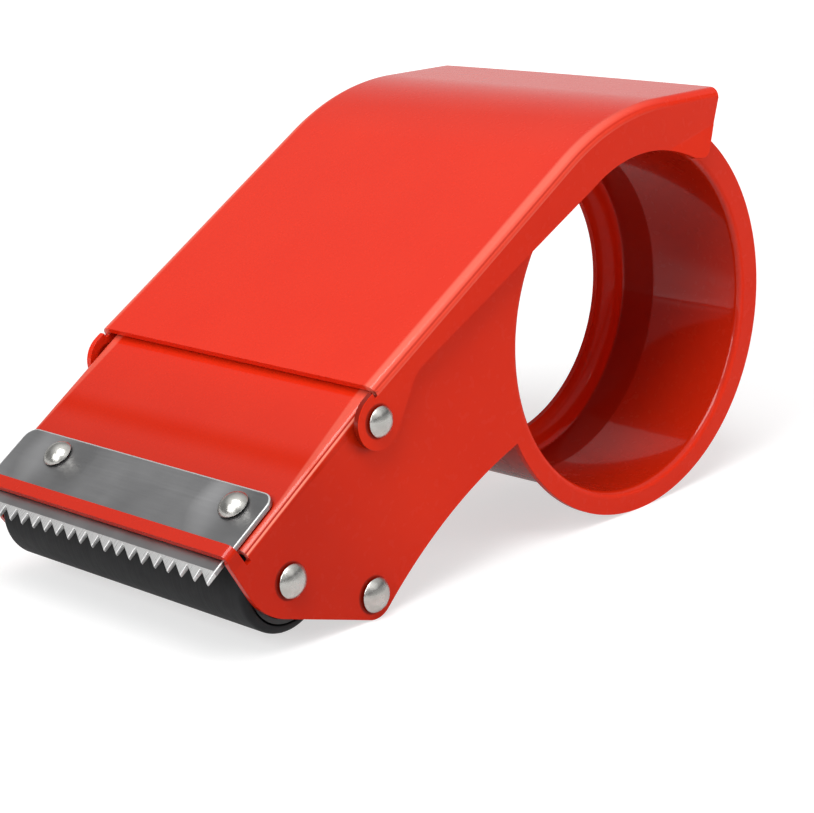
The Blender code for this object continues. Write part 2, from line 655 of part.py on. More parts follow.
TO_NEAR = (math.radians(90.0), 0, 0)
for side, turn in (("near", TO_NEAR), ("far", ALONG_Y)):
    turned("hinge_rivet_" + side,
           rivet_profile(HINGE_HEAD_R, HINGE_HEAD_H, HINGE_PIN_R, COVER_HALF + FIT,
                         INNER_Y - FIT), PIN_STEPS, BRIGHT, hinge_centre, turn=turn)
turned("roller_axle", double_profile(AXLE_HEAD_R, AXLE_HEAD_H, AXLE_PIN_R, PLATE_Y + FIT),
       PIN_STEPS, BRIGHT, axle_centre, turn=TO_NEAR)
turned("rear_rod", double_profile(ROD_HEAD_R, AXLE_HEAD_H, ROD_PIN_R, PLATE_Y + FIT),
       PIN_STEPS, BRIGHT, rod_centre, turn=TO_NEAR)
for side, y in zip(("near", "far"), BLADE_RIVET_YS):
    base = web_point(BLADE_RIVET_S)
    turned("blade_rivet_" + side,
           rivet_profile(BLADE_HEAD_R, BLADE_HEAD_H, BLADE_RIVET_R, BLADE_RAISE + FIT,
                         -SHEET - FIT), PIN_STEPS, BRIGHT, base, y=y, turn=WEB_FRAME)


def tube_profile(r_in, r_out, half, edge=0.0):
    """Closed tube section, its outer corners cut back by the edge."""
    if edge:
        return [(r_out - edge, half), (r_out, half - edge), (r_out, edge - half),
                (r_out - edge, -half), (r_in, -half), (r_in, half)]
    return [(r_out, half), (r_out, -half), (r_in, -half), (r_in, half)]


turned("rear_spacer", tube_profile(ROD_PIN_R + RUN, SPACER_R, INNER_Y - FIT), PIN_STEPS,
       PLAIN_STEEL, rod_centre, closed=True)

# front roller: spoked plastic core in a soft tyre, with a bush in each end
core_r = ROLLER_R - TYRE_WALL - FIT
rim_in = core_r - CORE_RIM
windows = []
for k in range(SPOKES):
    mid = math.tau * (k + 1 / 2) / SPOKES
    wide = math.pi / SPOKES - math.asin(CORE_SPOKE / 2 / rim_in)
    slim = math.pi / SPOKES - math.asin(CORE_SPOKE / 2 / CORE_HUB_R)
    windows.append(arc((0, 0), rim_in, mid - wide, mid + wide, BEND_STEPS)
                   + arc((0, 0), CORE_HUB_R, mid + slim, mid - slim, 2))
core_loops = [circle((0, 0), core_r, 2 * PIN_STEPS),
              circle((0, 0), CORE_BORE_R, PIN_STEPS)] + windows
add("roller_core", outline_curve("roller_core", core_loops, ROLLER_LENGTH), *PLASTIC,
    at=(AXLE_X, 0, AXLE_Z), turn=UPRIGHT)
turned("roller_tyre",
       tube_profile(ROLLER_R - TYRE_WALL, ROLLER_R, ROLLER_LENGTH / 2, ROLLER_EDGE),
       2 * PIN_STEPS, RUBBER, axle_centre, closed=True)
bush_y = (ROLLER_LENGTH - BUSH_LENGTH) / 2
for side, sign in (("near", -1), ("far", 1)):
    turned("roller_bush_" + side,
           tube_profile(BUSH_IN_R, BUSH_IN_R + BUSH_WALL, BUSH_LENGTH / 2), PIN_STEPS,
           PLASTIC, axle_centre, y=sign * bush_y, closed=True)
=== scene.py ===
"""Looks, light and camera for the hand-held packing tape dispenser. Lengths are in metres.

Pieces are drawn in the part's own plane, as in its source: x runs to the rear along the cover's
straight top, z stands square to it, y = 0 is the middle and x = z = 0 lies near the drum's axis.
The matrix REST puts that plane in the rest pose.
"""
import math

import bmesh
import bpy
from mathutils import Matrix, Vector


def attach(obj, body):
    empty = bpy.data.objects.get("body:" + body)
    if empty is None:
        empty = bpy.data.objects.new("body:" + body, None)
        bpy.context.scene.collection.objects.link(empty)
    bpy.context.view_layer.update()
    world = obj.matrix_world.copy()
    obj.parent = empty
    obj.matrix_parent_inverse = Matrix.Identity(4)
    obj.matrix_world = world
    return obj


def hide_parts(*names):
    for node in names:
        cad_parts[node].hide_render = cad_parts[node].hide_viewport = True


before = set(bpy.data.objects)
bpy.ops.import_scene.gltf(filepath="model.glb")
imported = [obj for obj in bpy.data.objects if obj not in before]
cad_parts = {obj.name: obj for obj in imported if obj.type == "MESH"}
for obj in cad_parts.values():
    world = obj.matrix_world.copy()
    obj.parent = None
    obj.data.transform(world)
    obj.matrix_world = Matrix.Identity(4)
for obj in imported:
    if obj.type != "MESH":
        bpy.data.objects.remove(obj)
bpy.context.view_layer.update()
scene = bpy.context.scene
scene.view_settings.view_transform = "Standard"

# rest pose of the design plane
REST_TURN = math.radians(30.13686)
REST_X = 0.034814
REST_Z = 0.039590
REST = Matrix.Translation((REST_X, 0, REST_Z)) @ Matrix.Rotation(-REST_TURN, 4, "Y")

# sheet metal
SHEET = 0.0012
FIT = 0.0003
WELD = 0.000003
FLAT = math.radians(0.5)
FACING = 0.9997            # how squarely a face's normal has to point one way
SHEET_EDGE = 0.00032       # rounding of painted sheet edges
PIN_EDGE = 0.00015         # and of rivets, pins and the roller
TUBE_EDGE = 0.00010

# cover
COVER_HALF = 0.03775
COVER_TOP_Z = 0.0394
COVER_FRONT_X = -0.0612
COVER_BEND_R = 0.0020      # the solids have 3.0 mm; the photograph's highlight is this tight
ARCH_START_X = 0.0002
ARCH_R = 0.0540
ARCH_TURN = math.radians(31.2)
TAIL_LENGTH = 0.0172
TAIL_BOW = 0.0011
EAR_R = 0.0052
BAND_FRONT = Vector((-0.0454, 0.0338))
BAND_REAR = Vector((0.0026, 0.0304))
EAR_END_X = -0.0519
EAR_FILLET = 0.0060
CUTOUT_R = 0.0318
CUTOUT_STOP = math.radians(33.2)
LOBE_TIP = Vector((0.0322, 0.0136))
LOBE_TIP_R = 0.0022
LOBE_BACK = Vector((0.0376, 0.0173))
LOBE_BACK_R = 0.0060
CREASE_FRONT = Vector((0.0211, 0.0230))
CREASE_REAR = Vector((0.0388, 0.0175))
CREASE_ANGLE = math.radians(9.0)

# frame
PLATE_Y = 0.03575
PLATE_TOP_Z = 0.0375
WEB_KINK_X = -0.0600
WEB_REAR_X = -0.0500
WEB_Z = 0.0374
WEB_SLOPE = math.radians(2.9)
WEB_LENGTH = 0.0377
FRAME_BEND_R = 0.0015
LIP_GAP = 0.0011
LIP_WIDTH = 0.0025
LIP_RAISE = 0.0028
RELIEF = 0.0007
BELLY_RISE = 0.0023
BELLY_START = math.radians(-75.0)
BELLY_END = math.radians(175.0)
NOSE_LEAD = 0.0002
NOSE_R = 0.0130
CHIN_ANGLE = math.radians(131.5)
HEEL_R = 0.0046
CHEEK_WAIST = Vector((-0.0640, 0.0200))
CHEEK_FILLET = 0.0140

# ring and drum
BORE_R = 0.0340
RING_R = 0.0393
RING_CENTRE = Vector((0.0008, -0.0008))
DRUM_CENTRE = Vector((0.0002, -0.0012))
COLLAR_R = 0.0015
DRUM_DEPTH = 0.0358
DRUM_LIP_R = 0.0042

# looks of the enamel: a tone darkens its colour, a gloss scales its shine
REDS = ((0.73, 0.022, 0.004, 1), (0.75, 0.026, 0.005, 1))
ENAMEL_SPECULAR = 0.10
ENAMEL_COAT = 0.46
SIDE_GLOSS = 0.4
NOSE_TONE_X = -0.0850      # painted shade: the frame is darkest from here forward
NOSE_TONE = 0.80
# painted shade on the web's top face
WEB_TONE = 0.93
DARK_BAND_S = 0.0181          # painted dark reflection band across the web, which is also less glossy there
DARK_BAND_HALF = 0.0040
DARK_BAND_TONE = 0.94
# painted shade inside the drum
DRUM_TONE = 0.68
DEEP_Y = -0.0132           # from here inward the drum's wall gets darker painted shade and less gloss
DEEP_TONE = 0.80
DEEP_DULL = 1.4            # dullness counts from 0, as shiny as new, to this
DULL_GLOSS = 0.1
# painted light on the drum's lip, which ends brighter than the enamel outside
DRUM_LIP_TONE = 1.7
EAR_EDGE_SHADE = 0.32           # painted shade on the cut edge of the ear
SHADOW_LEAD = 0.00028        # painted shadow beside a rivet's head: how far it leads, how wide and how dark
SHADOW_WIDTH = 0.0005
SHADOW_TONE = 0.40

# painted highlights and dark reflection lines along the folds, by distance from the middle
FOLD_HIGHLIGHT_COLOUR = (0.95, 0.26, 0.18, 1)
DARK_LINE_TONE = 0.72
WEB_DARK_LINE_Y = 0.03526
WEB_FOLD_HIGHLIGHT = ((0.0345, 0.0), (0.0351, 0.38), (0.03525, 0.42), (0.03533, 0.0), (0.03546, 0.0),
                 (0.03551, 1.0), (0.03562, 1.0), (0.03569, 0.0), (PLATE_Y, 0.0))
WEB_FOLD_DARK_LINE = ((WEB_DARK_LINE_Y, 0.0), (0.03533, 1.0), (0.03544, 1.0), (0.03549, 0.0),
                   (PLATE_Y, 0.0))
WEDGE_Y = 0.0341           # a painted highlight in a wedge beside the web's fold, widening towards the ear
WEDGE_WIDTH = 0.0016
WEDGE_HIGHLIGHT = 0.28
COVER_FOLD_HIGHLIGHT = ((0.0353, 0.0), (0.0360, 0.45), (0.0369, 0.45), (0.0373, 0.22), (0.0374, 0.05),
                   (0.03750, 0.05), (0.03756, 0.18), (0.03764, 0.18), (0.03769, 0.12),
                   (COVER_HALF, 0.30))
COVER_FOLD_DARK_LINE = ((0.0373, 0.0), (0.0374, 1.0), (0.03750, 1.0), (0.03755, 0.0),
                     (COVER_HALF, 0.0))
COVER_FOLD_END = 0.030     # how far behind the arch's start the fold's painted highlight has faded

# looks of the other materials: each is mottled between two colours
BLADE_GREYS = ((0.33, 0.33, 0.335, 1), (0.39, 0.39, 0.395, 1))
GROUND_AND_HIGHLIGHT_GREYS = ((0.58, 0.58, 0.58, 1), (0.70, 0.70, 0.69, 1))
NICKELS = ((0.55, 0.54, 0.51, 1), (0.63, 0.62, 0.59, 1))
ZINCS = ((0.50, 0.50, 0.50, 1), (0.60, 0.60, 0.59, 1))
RUBBERS = ((0.010, 0.010, 0.011, 1), (0.016, 0.016, 0.017, 1))
PLASTICS = ((0.016, 0.016, 0.017, 1), (0.024, 0.024, 0.025, 1))
FLOOR_GREY = (0.50, 0.50, 0.50, 1)
WHITE = (1, 1, 1, 1)

# studio: places and directions in the rest pose, powers in watts
FLOOR_HALF = 3.0
FLOOR_NEAR = 0.25          # within this reach the floor is greyest to the camera and in metal
FLOOR_WHITE = 0.80
FLOOR_GLOW = 0.60
FLOOR_MIRROR_WHITE = 1.50
FLOOR_MIRROR_GLOW = 0.24
LAMPS_AIM = (0, 0, 0.04)
ROOM_GREY = (0.20, 0.20, 0.20, 1)
ROOM_LEVELS = ((0.0, 0.05), (0.03, 0.60), (0.06, 0.27), (0.55, 0.27), (1.0, 1.0))   # by height
ROOM_SIDEWAYS = (-0.15, 0.25, 0.95, 1.03)    # a little brighter to the right
SWEEP_AT = (0.70, 0.71, 0)                   # white paper swept up far behind the part
SWEEP_SPAN = (0.62, 0.95, 0.0, 0.56)
SWEEP_HEIGHT = (0.12, 0.60, 1.0, 0.0)
NEAR_WALL_SPAN = (-0.25, -0.05, 1.0, 0.0)    # a wall with a board and a window on the near side
BOARD_EDGE = (-0.185, 0.382, 0.906)          # square to the plane through the board's upper edge
BOARD_LEVELS = ((-1.0, 0.80), (-0.08, 0.42), (-0.04, 0.05), (0.02, 0.05), (0.10, 0.42),
                (1.0, 1.0))
WINDOW_AT = (0.05, -0.655, 0.754)
WINDOW_SPAN = (0.90, 0.97, 0.0, 1.0)

# camera of the photograph, measured in the design plane
CAMERA_AT = (-0.230423, -0.305744, 0.259011)
CAMERA_RIGHT = Vector((0.579575, -0.712182, -0.396093))
CAMERA_DOWN = Vector((-0.684732, -0.162050, -0.710551))
CAMERA_AHEAD = Vector((0.441854, 0.683035, -0.581574))
CAMERA_LENS = 99.463
CAMERA_SENSOR = 36.0
CAMERA_CLIP = 0.01

# pins
HINGE = Vector((-0.0634, 0.0333))
AXLE_BACK = 0.0083
AXLE_Z = 0.0236
ROD_BACK = 0.0207
ROD_Z = 0.0065
HINGE_PIN_R = 0.0018
HINGE_HEAD_R = 0.0029
HINGE_HEAD_H = 0.0015
AXLE_PIN_R = 0.0021
AXLE_HEAD_R = 0.0032
AXLE_HEAD_H = 0.0017
ROD_HEAD_R = 0.0033
ROD_PIN_R = 0.0021
UPSET_R = 0.0024
UPSET_H = 0.0008
SPACER_R = 0.0036

# blade
BLADE_T = 0.0010
BLADE_RAISE = FIT + BLADE_T
BLADE_HALF = 0.03425
BLADE_TOP_S = WEB_LENGTH - 0.0113
TOOTH_ROOT_S = WEB_LENGTH + 0.0061
TOOTH_TIP_S = TOOTH_ROOT_S + 0.0023
TOOTH_COUNT = 20
TOOTH_GRIND = 0.0003        # how far a tooth's top is ground down at its point
BLADE_EDGE = 0.00025
BLADE_EDGE_HIGHLIGHT = 0.0003      # painted highlight: a border of paler steel along the sheared edge
BLADE_WAVE = 0.0004         # how far the pressed sheet wavers from flat
BLADE_GRAIN = 0.000004
GROUND_AND_HIGHLIGHT_SLOT = 1             # the blade's second material
DIMPLE_R = 0.0100
DIMPLE_DEPTH = 0.0008
BLADE_CORNER_R = 0.0025
BLADE_RIVET_S = WEB_LENGTH - 0.0071
BLADE_RIVET_YS = (-0.02735, 0.02165)
BLADE_RIVET_R = 0.0017
BLADE_HEAD_R = 0.0030
BLADE_HEAD_H = 0.0017

# roller
ROLLER_R = 0.0098
ROLLER_HALF = 0.03425
ROLLER_EDGE = 0.0012
TYRE_WALL = 0.0016
CORE_RIM = 0.0010
CORE_BORE_R = 0.0036
CORE_HUB_R = 0.0047
CORE_SPOKE = 0.0013
SPOKES = 6
BUSH_LENGTH = 0.0060
BUSH_WALL = 0.0009

# how finely round shapes are cut
RING_STEPS = 144
PIN_STEPS = 48
BEND_STEPS = 8
ARC_STEPS = 40

INNER_Y = PLATE_Y - SHEET
DRUM_LIP_Y = DRUM_DEPTH - PLATE_Y - DRUM_LIP_R - SHEET
ARCH_CENTRE = Vector((ARCH_START_X, COVER_TOP_Z - ARCH_R))
LIP_REAR_S = WEB_LENGTH + LIP_GAP
LIP_FRONT_S = LIP_REAR_S + LIP_WIDTH


def polar(centre, radius, angle):
    """Point on a circle in the x-z plane; the angle counts from +x towards +z."""
    return Vector((centre[0] + radius * math.cos(angle), centre[1] + radius * math.sin(angle)))


def arc(centre, radius, start, end, steps):
    """Points from one angle to another, both ends included."""
    return [polar(centre, radius, start + (end - start) * i / steps) for i in range(steps + 1)]


def circle(centre, radius, steps):
    """Points all round, the first not repeated."""
    return [polar(centre, radius, math.tau * i / steps) for i in range(steps)]


def fillet(before, corner, after, radius, steps=BEND_STEPS):
    """Arc that rounds the corner between two straight edges."""
    a = (Vector(before) - Vector(corner)).normalized()
    b = (Vector(after) - Vector(corner)).normalized()
    half = a.angle(b) / 2
    centre = Vector(corner) + (a + b).normalized() * radius / math.sin(half)
    first = Vector(corner) + a * radius / math.tan(half) - centre
    last = Vector(corner) + b * radius / math.tan(half) - centre
    start = math.atan2(first.y, first.x)
    turn = math.remainder(math.atan2(last.y, last.x) - start, math.tau)
    return arc(centre, radius, start, start + turn, steps)


def angle_of(centre, point):
    return math.atan2(point[1] - centre[1], point[0] - centre[0])


def tangent_angle(centre, radius, point):
    """Where a counterclockwise circle is left on a straight line to a point."""
    span = Vector(point) - Vector(centre)
    return math.atan2(span.y, span.x) - math.acos(radius / span.length)


def circles_meet(c0, r0, c1, r1):
    """The meeting point of two circles that lies further along +x."""
    span = Vector(c1) - Vector(c0)
    d = span.length
    along = (r0 * r0 - r1 * r1 + d * d) / (2 * d)
    side = math.sqrt(r0 * r0 - along * along)
    unit = span / d
    normal = Vector((-unit.y, unit.x))
    both = [Vector(c0) + unit * along + normal * side, Vector(c0) + unit * along - normal * side]
    return max(both, key=lambda p: p.x)


def web_point(s, rise=0.0):
    """Point on the sloping web: s runs forward from its kink, rise goes outward."""
    along = Vector((-math.cos(WEB_SLOPE), -math.sin(WEB_SLOPE)))
    outward = Vector((-math.sin(WEB_SLOPE), math.cos(WEB_SLOPE)))
    return Vector((WEB_KINK_X, WEB_Z)) + along * s + outward * rise


NOSE_X = web_point(LIP_FRONT_S, LIP_RAISE).x - NOSE_LEAD
AXLE = Vector((NOSE_X + AXLE_BACK, AXLE_Z))
ROD = Vector((NOSE_X + ROD_BACK, ROD_Z))


# mesh helpers
def fill(bm, loops):
    """Flat face bounded by the first loop of 3-D points and holed by the others."""
    edges = []
    for loop in loops:
        verts = [bm.verts.new(p) for p in loop]
        edges += [bm.edges.new((verts[i - 1], verts[i])) for i in range(len(verts))]
    made = bmesh.ops.triangle_fill(bm, use_beauty=True, use_dissolve=False, edges=edges)
    inner = [e for e in made["geom"] if isinstance(e, bmesh.types.BMEdge) and e not in edges]
    bmesh.ops.dissolve_limit(bm, angle_limit=FLAT, verts=[], edges=inner)


def upright(loops, y):
    """Loops of the design plane as 3-D points at this depth."""
    return [[(p[0], y, p[1]) for p in loop] for loop in loops]


def strip(bm, rows, closed=False):
    """Quads between neighbouring rows of points."""
    made = [[bm.verts.new(p) for p in row] for row in rows]
    for a, b in zip(made, made[1:] + (made[:1] if closed else [])):
        for i in range(len(a) - 1):
            bm.faces.new((a[i], a[i + 1], b[i + 1], b[i]))


def welded_mesh(name, bm, direction=None):
    """Weld the faces and turn them outward, or for an open shell towards a direction."""
    bmesh.ops.remove_doubles(bm, verts=bm.verts, dist=WELD)
    bmesh.ops.recalc_face_normals(bm, faces=bm.faces)
    if direction:
        face = max(bm.faces, key=lambda f: f.calc_center_median().dot(Vector(direction)))
        if face.normal.dot(Vector(direction)) < 0:
            bmesh.ops.reverse_faces(bm, faces=bm.faces)
    mesh = bpy.data.meshes.new(name)
    bm.to_mesh(mesh)
    bm.free()
    mesh.shade_smooth()
    return mesh


def solid_of_outline(name, loops, depth):
    """Flat outline in local x-y, extruded evenly both ways along local z."""
    bm = bmesh.new()
    fill(bm, [[(p[0], p[1], -depth / 2) for p in loop] for loop in loops])
    bmesh.ops.remove_doubles(bm, verts=bm.verts, dist=WELD)
    made = bmesh.ops.extrude_face_region(bm, geom=list(bm.faces))
    lifted = [v for v in made["geom"] if isinstance(v, bmesh.types.BMVert)]
    bmesh.ops.translate(bm, verts=lifted, vec=(0, 0, depth))
    return welded_mesh(name, bm)


def lathe(name, profile, steps=PIN_STEPS, closed=False):
    """Revolve (radius, height) points about local z; both ends lie on it unless closed."""
    rows = []
    for r, h in profile:
        ring = [(p[0], p[1], h) for p in circle((0, 0), r, steps)]
        rows.append(ring + ring[:1])
    bm = bmesh.new()
    strip(bm, rows, closed)
    return welded_mesh(name, bm)


def piece(name, mesh, look, body, nodes, place=Matrix()):
    """Link a finished mesh in the rest pose; it stands for the named nodes."""
    mesh.materials.append(look)
    mesh.transform(REST @ place)
    ob = bpy.data.objects.new(name, mesh)
    scene.collection.objects.link(ob)
    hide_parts(*nodes)
    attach(ob, body)
    return ob


def sheet_modifiers(ob):
    """Give an open shell of outer faces the sheet's thickness, and round its edges."""
    mod = ob.modifiers.new("sheet", "SOLIDIFY")
    mod.thickness, mod.offset = SHEET, -1.0
    mod.use_even_offset = mod.use_quality_normals = True
    edge_modifiers(ob, SHEET_EDGE)


def edge_modifiers(ob, width, segments=2, angle=math.radians(40.0)):
    mod = ob.modifiers.new("edges", "BEVEL")
    mod.width, mod.segments, mod.limit_method, mod.angle_limit = width, segments, "ANGLE", angle
    mod.miter_outer = "MITER_ARC"
    normals = ob.modifiers.new("normals", "WEIGHTED_NORMAL")
    normals.keep_sharp = True


# node helpers
NOISE_SPAN = (0.3, 0.7)    # most of a noise lies between these
MIX_A, MIX_B, MIX_OUT = 6, 7, 2    # colour sockets of a Mix node


class Nodes:
    """Short calls that add nodes to a tree."""

    def __init__(self, tree):
        self.tree = tree

    def node(self, kind, **settings):
        """New node; a setting that names a socket sets or links it, others are properties."""
        made = self.tree.nodes.new(kind)
        for key, value in settings.items():
            if hasattr(made, key):
                setattr(made, key, value)
        for key, value in settings.items():
            if not hasattr(made, key):
                self.put(made.inputs[key.replace("_", " ")], value)
        return made

    def put(self, socket, value):
        if isinstance(value, bpy.types.NodeSocket):
            self.tree.links.new(value, socket)
        else:
            socket.default_value = value

    def math(self, operation, a, b=0.0, c=0.0):
        made = self.node("ShaderNodeMath", operation=operation)
        for socket, value in zip(made.inputs, (a, b, c)):
            self.put(socket, value)
        return made.outputs[0]

    def product(self, value, *factors):
        for factor in factors:
            value = self.math("MULTIPLY", value, factor)
        return value

    def vector_math(self, operation, a, b=(0, 0, 0)):
        """Vector maths; a length, distance or dot product comes back as a value."""
        made = self.node("ShaderNodeVectorMath", operation=operation)
        self.put(made.inputs[0], a)
        self.put(made.inputs[1], b)
        single = operation in ("LENGTH", "DISTANCE", "DOT_PRODUCT")
        return made.outputs["Value" if single else "Vector"]

    def scaled(self, vector, factor):
        return self.node("ShaderNodeVectorMath", operation="SCALE", Vector=vector,
                         Scale=factor).outputs["Vector"]

    def xyz(self, vector):
        return self.node("ShaderNodeSeparateXYZ", Vector=vector).outputs

    def ramp(self, value, low, high, to_low, to_high):
        return self.node("ShaderNodeMapRange", Value=value, From_Min=low, From_Max=high,
                         To_Min=to_low, To_Max=to_high).outputs[0]

    def smooth(self, value, low, high, to_low, to_high):
        out = self.ramp(value, low, high, to_low, to_high)
        out.node.interpolation_type = "SMOOTHSTEP"
        return out

    def toned(self, mask, tone):
        """Factor that goes from 1 to this tone as the mask goes from 0 to 1."""
        return self.ramp(mask, 0.0, 1.0, 1.0, tone)

    def levels(self, value, stops):
        """Grey levels at the given values, and straight between them."""
        low, high = stops[0][0], stops[-1][0]
        made = self.node("ShaderNodeValToRGB", Fac=self.ramp(value, low, high, 0.0, 1.0))
        elements = made.color_ramp.elements
        for stop, (_, level) in zip(elements, (stops[0], stops[-1])):
            stop.color = (level, level, level, 1)
        for place, level in stops[1:-1]:
            elements.new((place - low) / (high - low)).color = (level, level, level, 1)
        return made.outputs["Color"]

    def blend(self, factor, a, b):
        made = self.node("ShaderNodeMix", data_type="RGBA", Factor=factor)
        self.put(made.inputs[MIX_A], a)
        self.put(made.inputs[MIX_B], b)
        return made.outputs[MIX_OUT]


class Shader(Nodes):
    """Principled material whose sockets are set by keyword."""

    def __init__(self, name, **sockets):
        self.material = bpy.data.materials.new(name)
        self.material.use_nodes = True
        super().__init__(self.material.node_tree)
        self.bsdf = self.tree.nodes["Principled BSDF"]
        self.set(**sockets)

    def set(self, **sockets):
        for key, value in sockets.items():
            self.put(self.bsdf.inputs[key.replace("_", " ")], value)

    def coords(self):
        return self.node("ShaderNodeTexCoord").outputs["Object"]

    def plane_coords(self, origin=(REST_X, 0, REST_Z), lengths=(1, 1, 1)):
        """Coordinates along the design plane's x, y and z, counted in these lengths."""
        return self.node("ShaderNodeMapping", vector_type="TEXTURE", Vector=self.coords(),
                         Location=origin, Rotation=(0, -REST_TURN, 0), Scale=lengths).outputs[0]

    def reach(self, centre):
        """Distance from an axis that runs across the part through a point of the plane."""
        gap = self.vector_math("SUBTRACT", self.plane_coords(), (centre[0], 0, centre[1]))
        return self.vector_math("LENGTH", self.vector_math("MULTIPLY", gap, (1, 0, 1)))

    def noise(self, scale, detail):
        return self.node("ShaderNodeTexNoise", Vector=self.coords(), Scale=scale,
                         Detail=detail, Roughness=0.5).outputs["Fac"]

    def streaks(self, lengths, detail, roughness):
        """Noise drawn out to these lengths along x, y and z of the design plane."""
        return self.node("ShaderNodeTexNoise", Vector=self.plane_coords((0, 0, 0), lengths),
                         Scale=1.0, Detail=detail, Roughness=roughness).outputs["Fac"]

    def between(self, value, low, high):
        """Follow a noise from one limit to the other."""
        return self.ramp(value, *NOISE_SPAN, low, high)

    def mottled(self, value, low, high, colours):
        return self.blend(self.ramp(value, low, high, 0.0, 1.0), *colours)

    def bump(self, height, distance, strength=1.0):
        self.set(Normal=self.node("ShaderNodeBump", Height=height, Distance=distance,
                                  Strength=strength).outputs[0])

    def ring_of_painted_shadow(self, centre, radius):
        """Factor that paints a shadow on the enamel beside a rivet's head, most on its front
        side.
        """
        reach = self.reach((centre[0] - SHADOW_LEAD, centre[1] + SHADOW_LEAD))
        return self.smooth(reach, radius, radius + SHADOW_WIDTH, SHADOW_TONE, 1.0)

    def fold_painted_light(self, fresh, tone, folded, highlight_levels, crease, wedge=0.0):
        """Painted highlight along a fold and a painted dark reflection line beside it, over the
        enamel darkened by the tone.
        """
        across = self.math("ABSOLUTE", self.xyz(self.plane_coords())["Y"])
        dark_line = self.product(folded, self.levels(across, crease))
        deep = self.scaled(fresh, self.product(tone, self.toned(dark_line, DARK_LINE_TONE)))
        highlight_mix = self.product(folded, self.math("MAXIMUM", wedge, self.levels(across, highlight_levels)))
        self.set(Base_Color=self.blend(highlight_mix, deep, FOLD_HIGHLIGHT_COLOUR))

    def enamel_gloss(self, gloss):
        self.set(Specular_IOR_Level=self.product(gloss, ENAMEL_SPECULAR),
                 Coat_Weight=self.product(gloss, ENAMEL_COAT))


def red_paint(name, side_y):
    """Stove-enamelled red: faint mottling, a fine orange peel and a clear gloss, thinner on the
    sides, which stand at side_y."""
    s = Shader(name, Coat_Roughness=0.06)
    across = s.math("ABSOLUTE", s.xyz(s.plane_coords())["Y"])
    gloss = s.toned(s.smooth(across, side_y - FIT, side_y - FIT / 3, 0, 1), SIDE_GLOSS)
    fresh = s.mottled(s.noise(scale=45.0, detail=3.0), *NOISE_SPAN, REDS)
    s.set(Roughness=s.between(s.noise(scale=500.0, detail=2.0), 0.25, 0.28))
    s.bump(s.noise(scale=1400.0, detail=1.0), distance=0.000004, strength=0.05)
    return s, fresh, gloss


def cover_paint():
    """The enamel with painted shade on the ear's cut edge, a painted shadow beside the hinge's
    head, and painted highlights and dark lines along the folds.
    """
    s, fresh, gloss = red_paint("red_enamel", COVER_HALF)
    x, y, z = s.xyz(s.plane_coords())
    near_hinge = (HINGE.x, -COVER_HALF + SHEET / 2, HINGE.y)
    ear = s.math("LESS_THAN", s.vector_math("DISTANCE", s.plane_coords(), near_hinge),
                 EAR_R + FIT)
    # painted shade along the ear's cut edge, and a painted shadow beside the hinge's head
    edge = s.smooth(s.math("ABSOLUTE", y), COVER_HALF - SHEET_EDGE / 2,
                    COVER_HALF - SHEET_EDGE / 6, 1, 0)
    tone = s.product(s.toned(s.product(ear, edge), EAR_EDGE_SHADE),
                     s.ring_of_painted_shadow(HINGE, HINGE_HEAD_R))
    # painted highlight and dark reflection line along the cover's folds, fading out behind the
    # arch's start
    behind = s.math("MAXIMUM", s.math("SUBTRACT", x, ARCH_START_X), 0.0)
    height = s.math("SUBTRACT", z, ARCH_CENTRE.y)
    reach = s.math("SQRT", s.math("MULTIPLY_ADD", behind, behind, s.product(height, height)))
    folded = s.product(s.math("GREATER_THAN", reach, ARCH_R - COVER_BEND_R),
                       s.ramp(behind, 0.0, COVER_FOLD_END, 1.0, 0.0),
                       s.math("GREATER_THAN", x, COVER_FRONT_X - FIT))
    s.fold_painted_light(fresh, tone, folded, COVER_FOLD_HIGHLIGHT, COVER_FOLD_DARK_LINE)
    s.enamel_gloss(gloss)
    return s.material


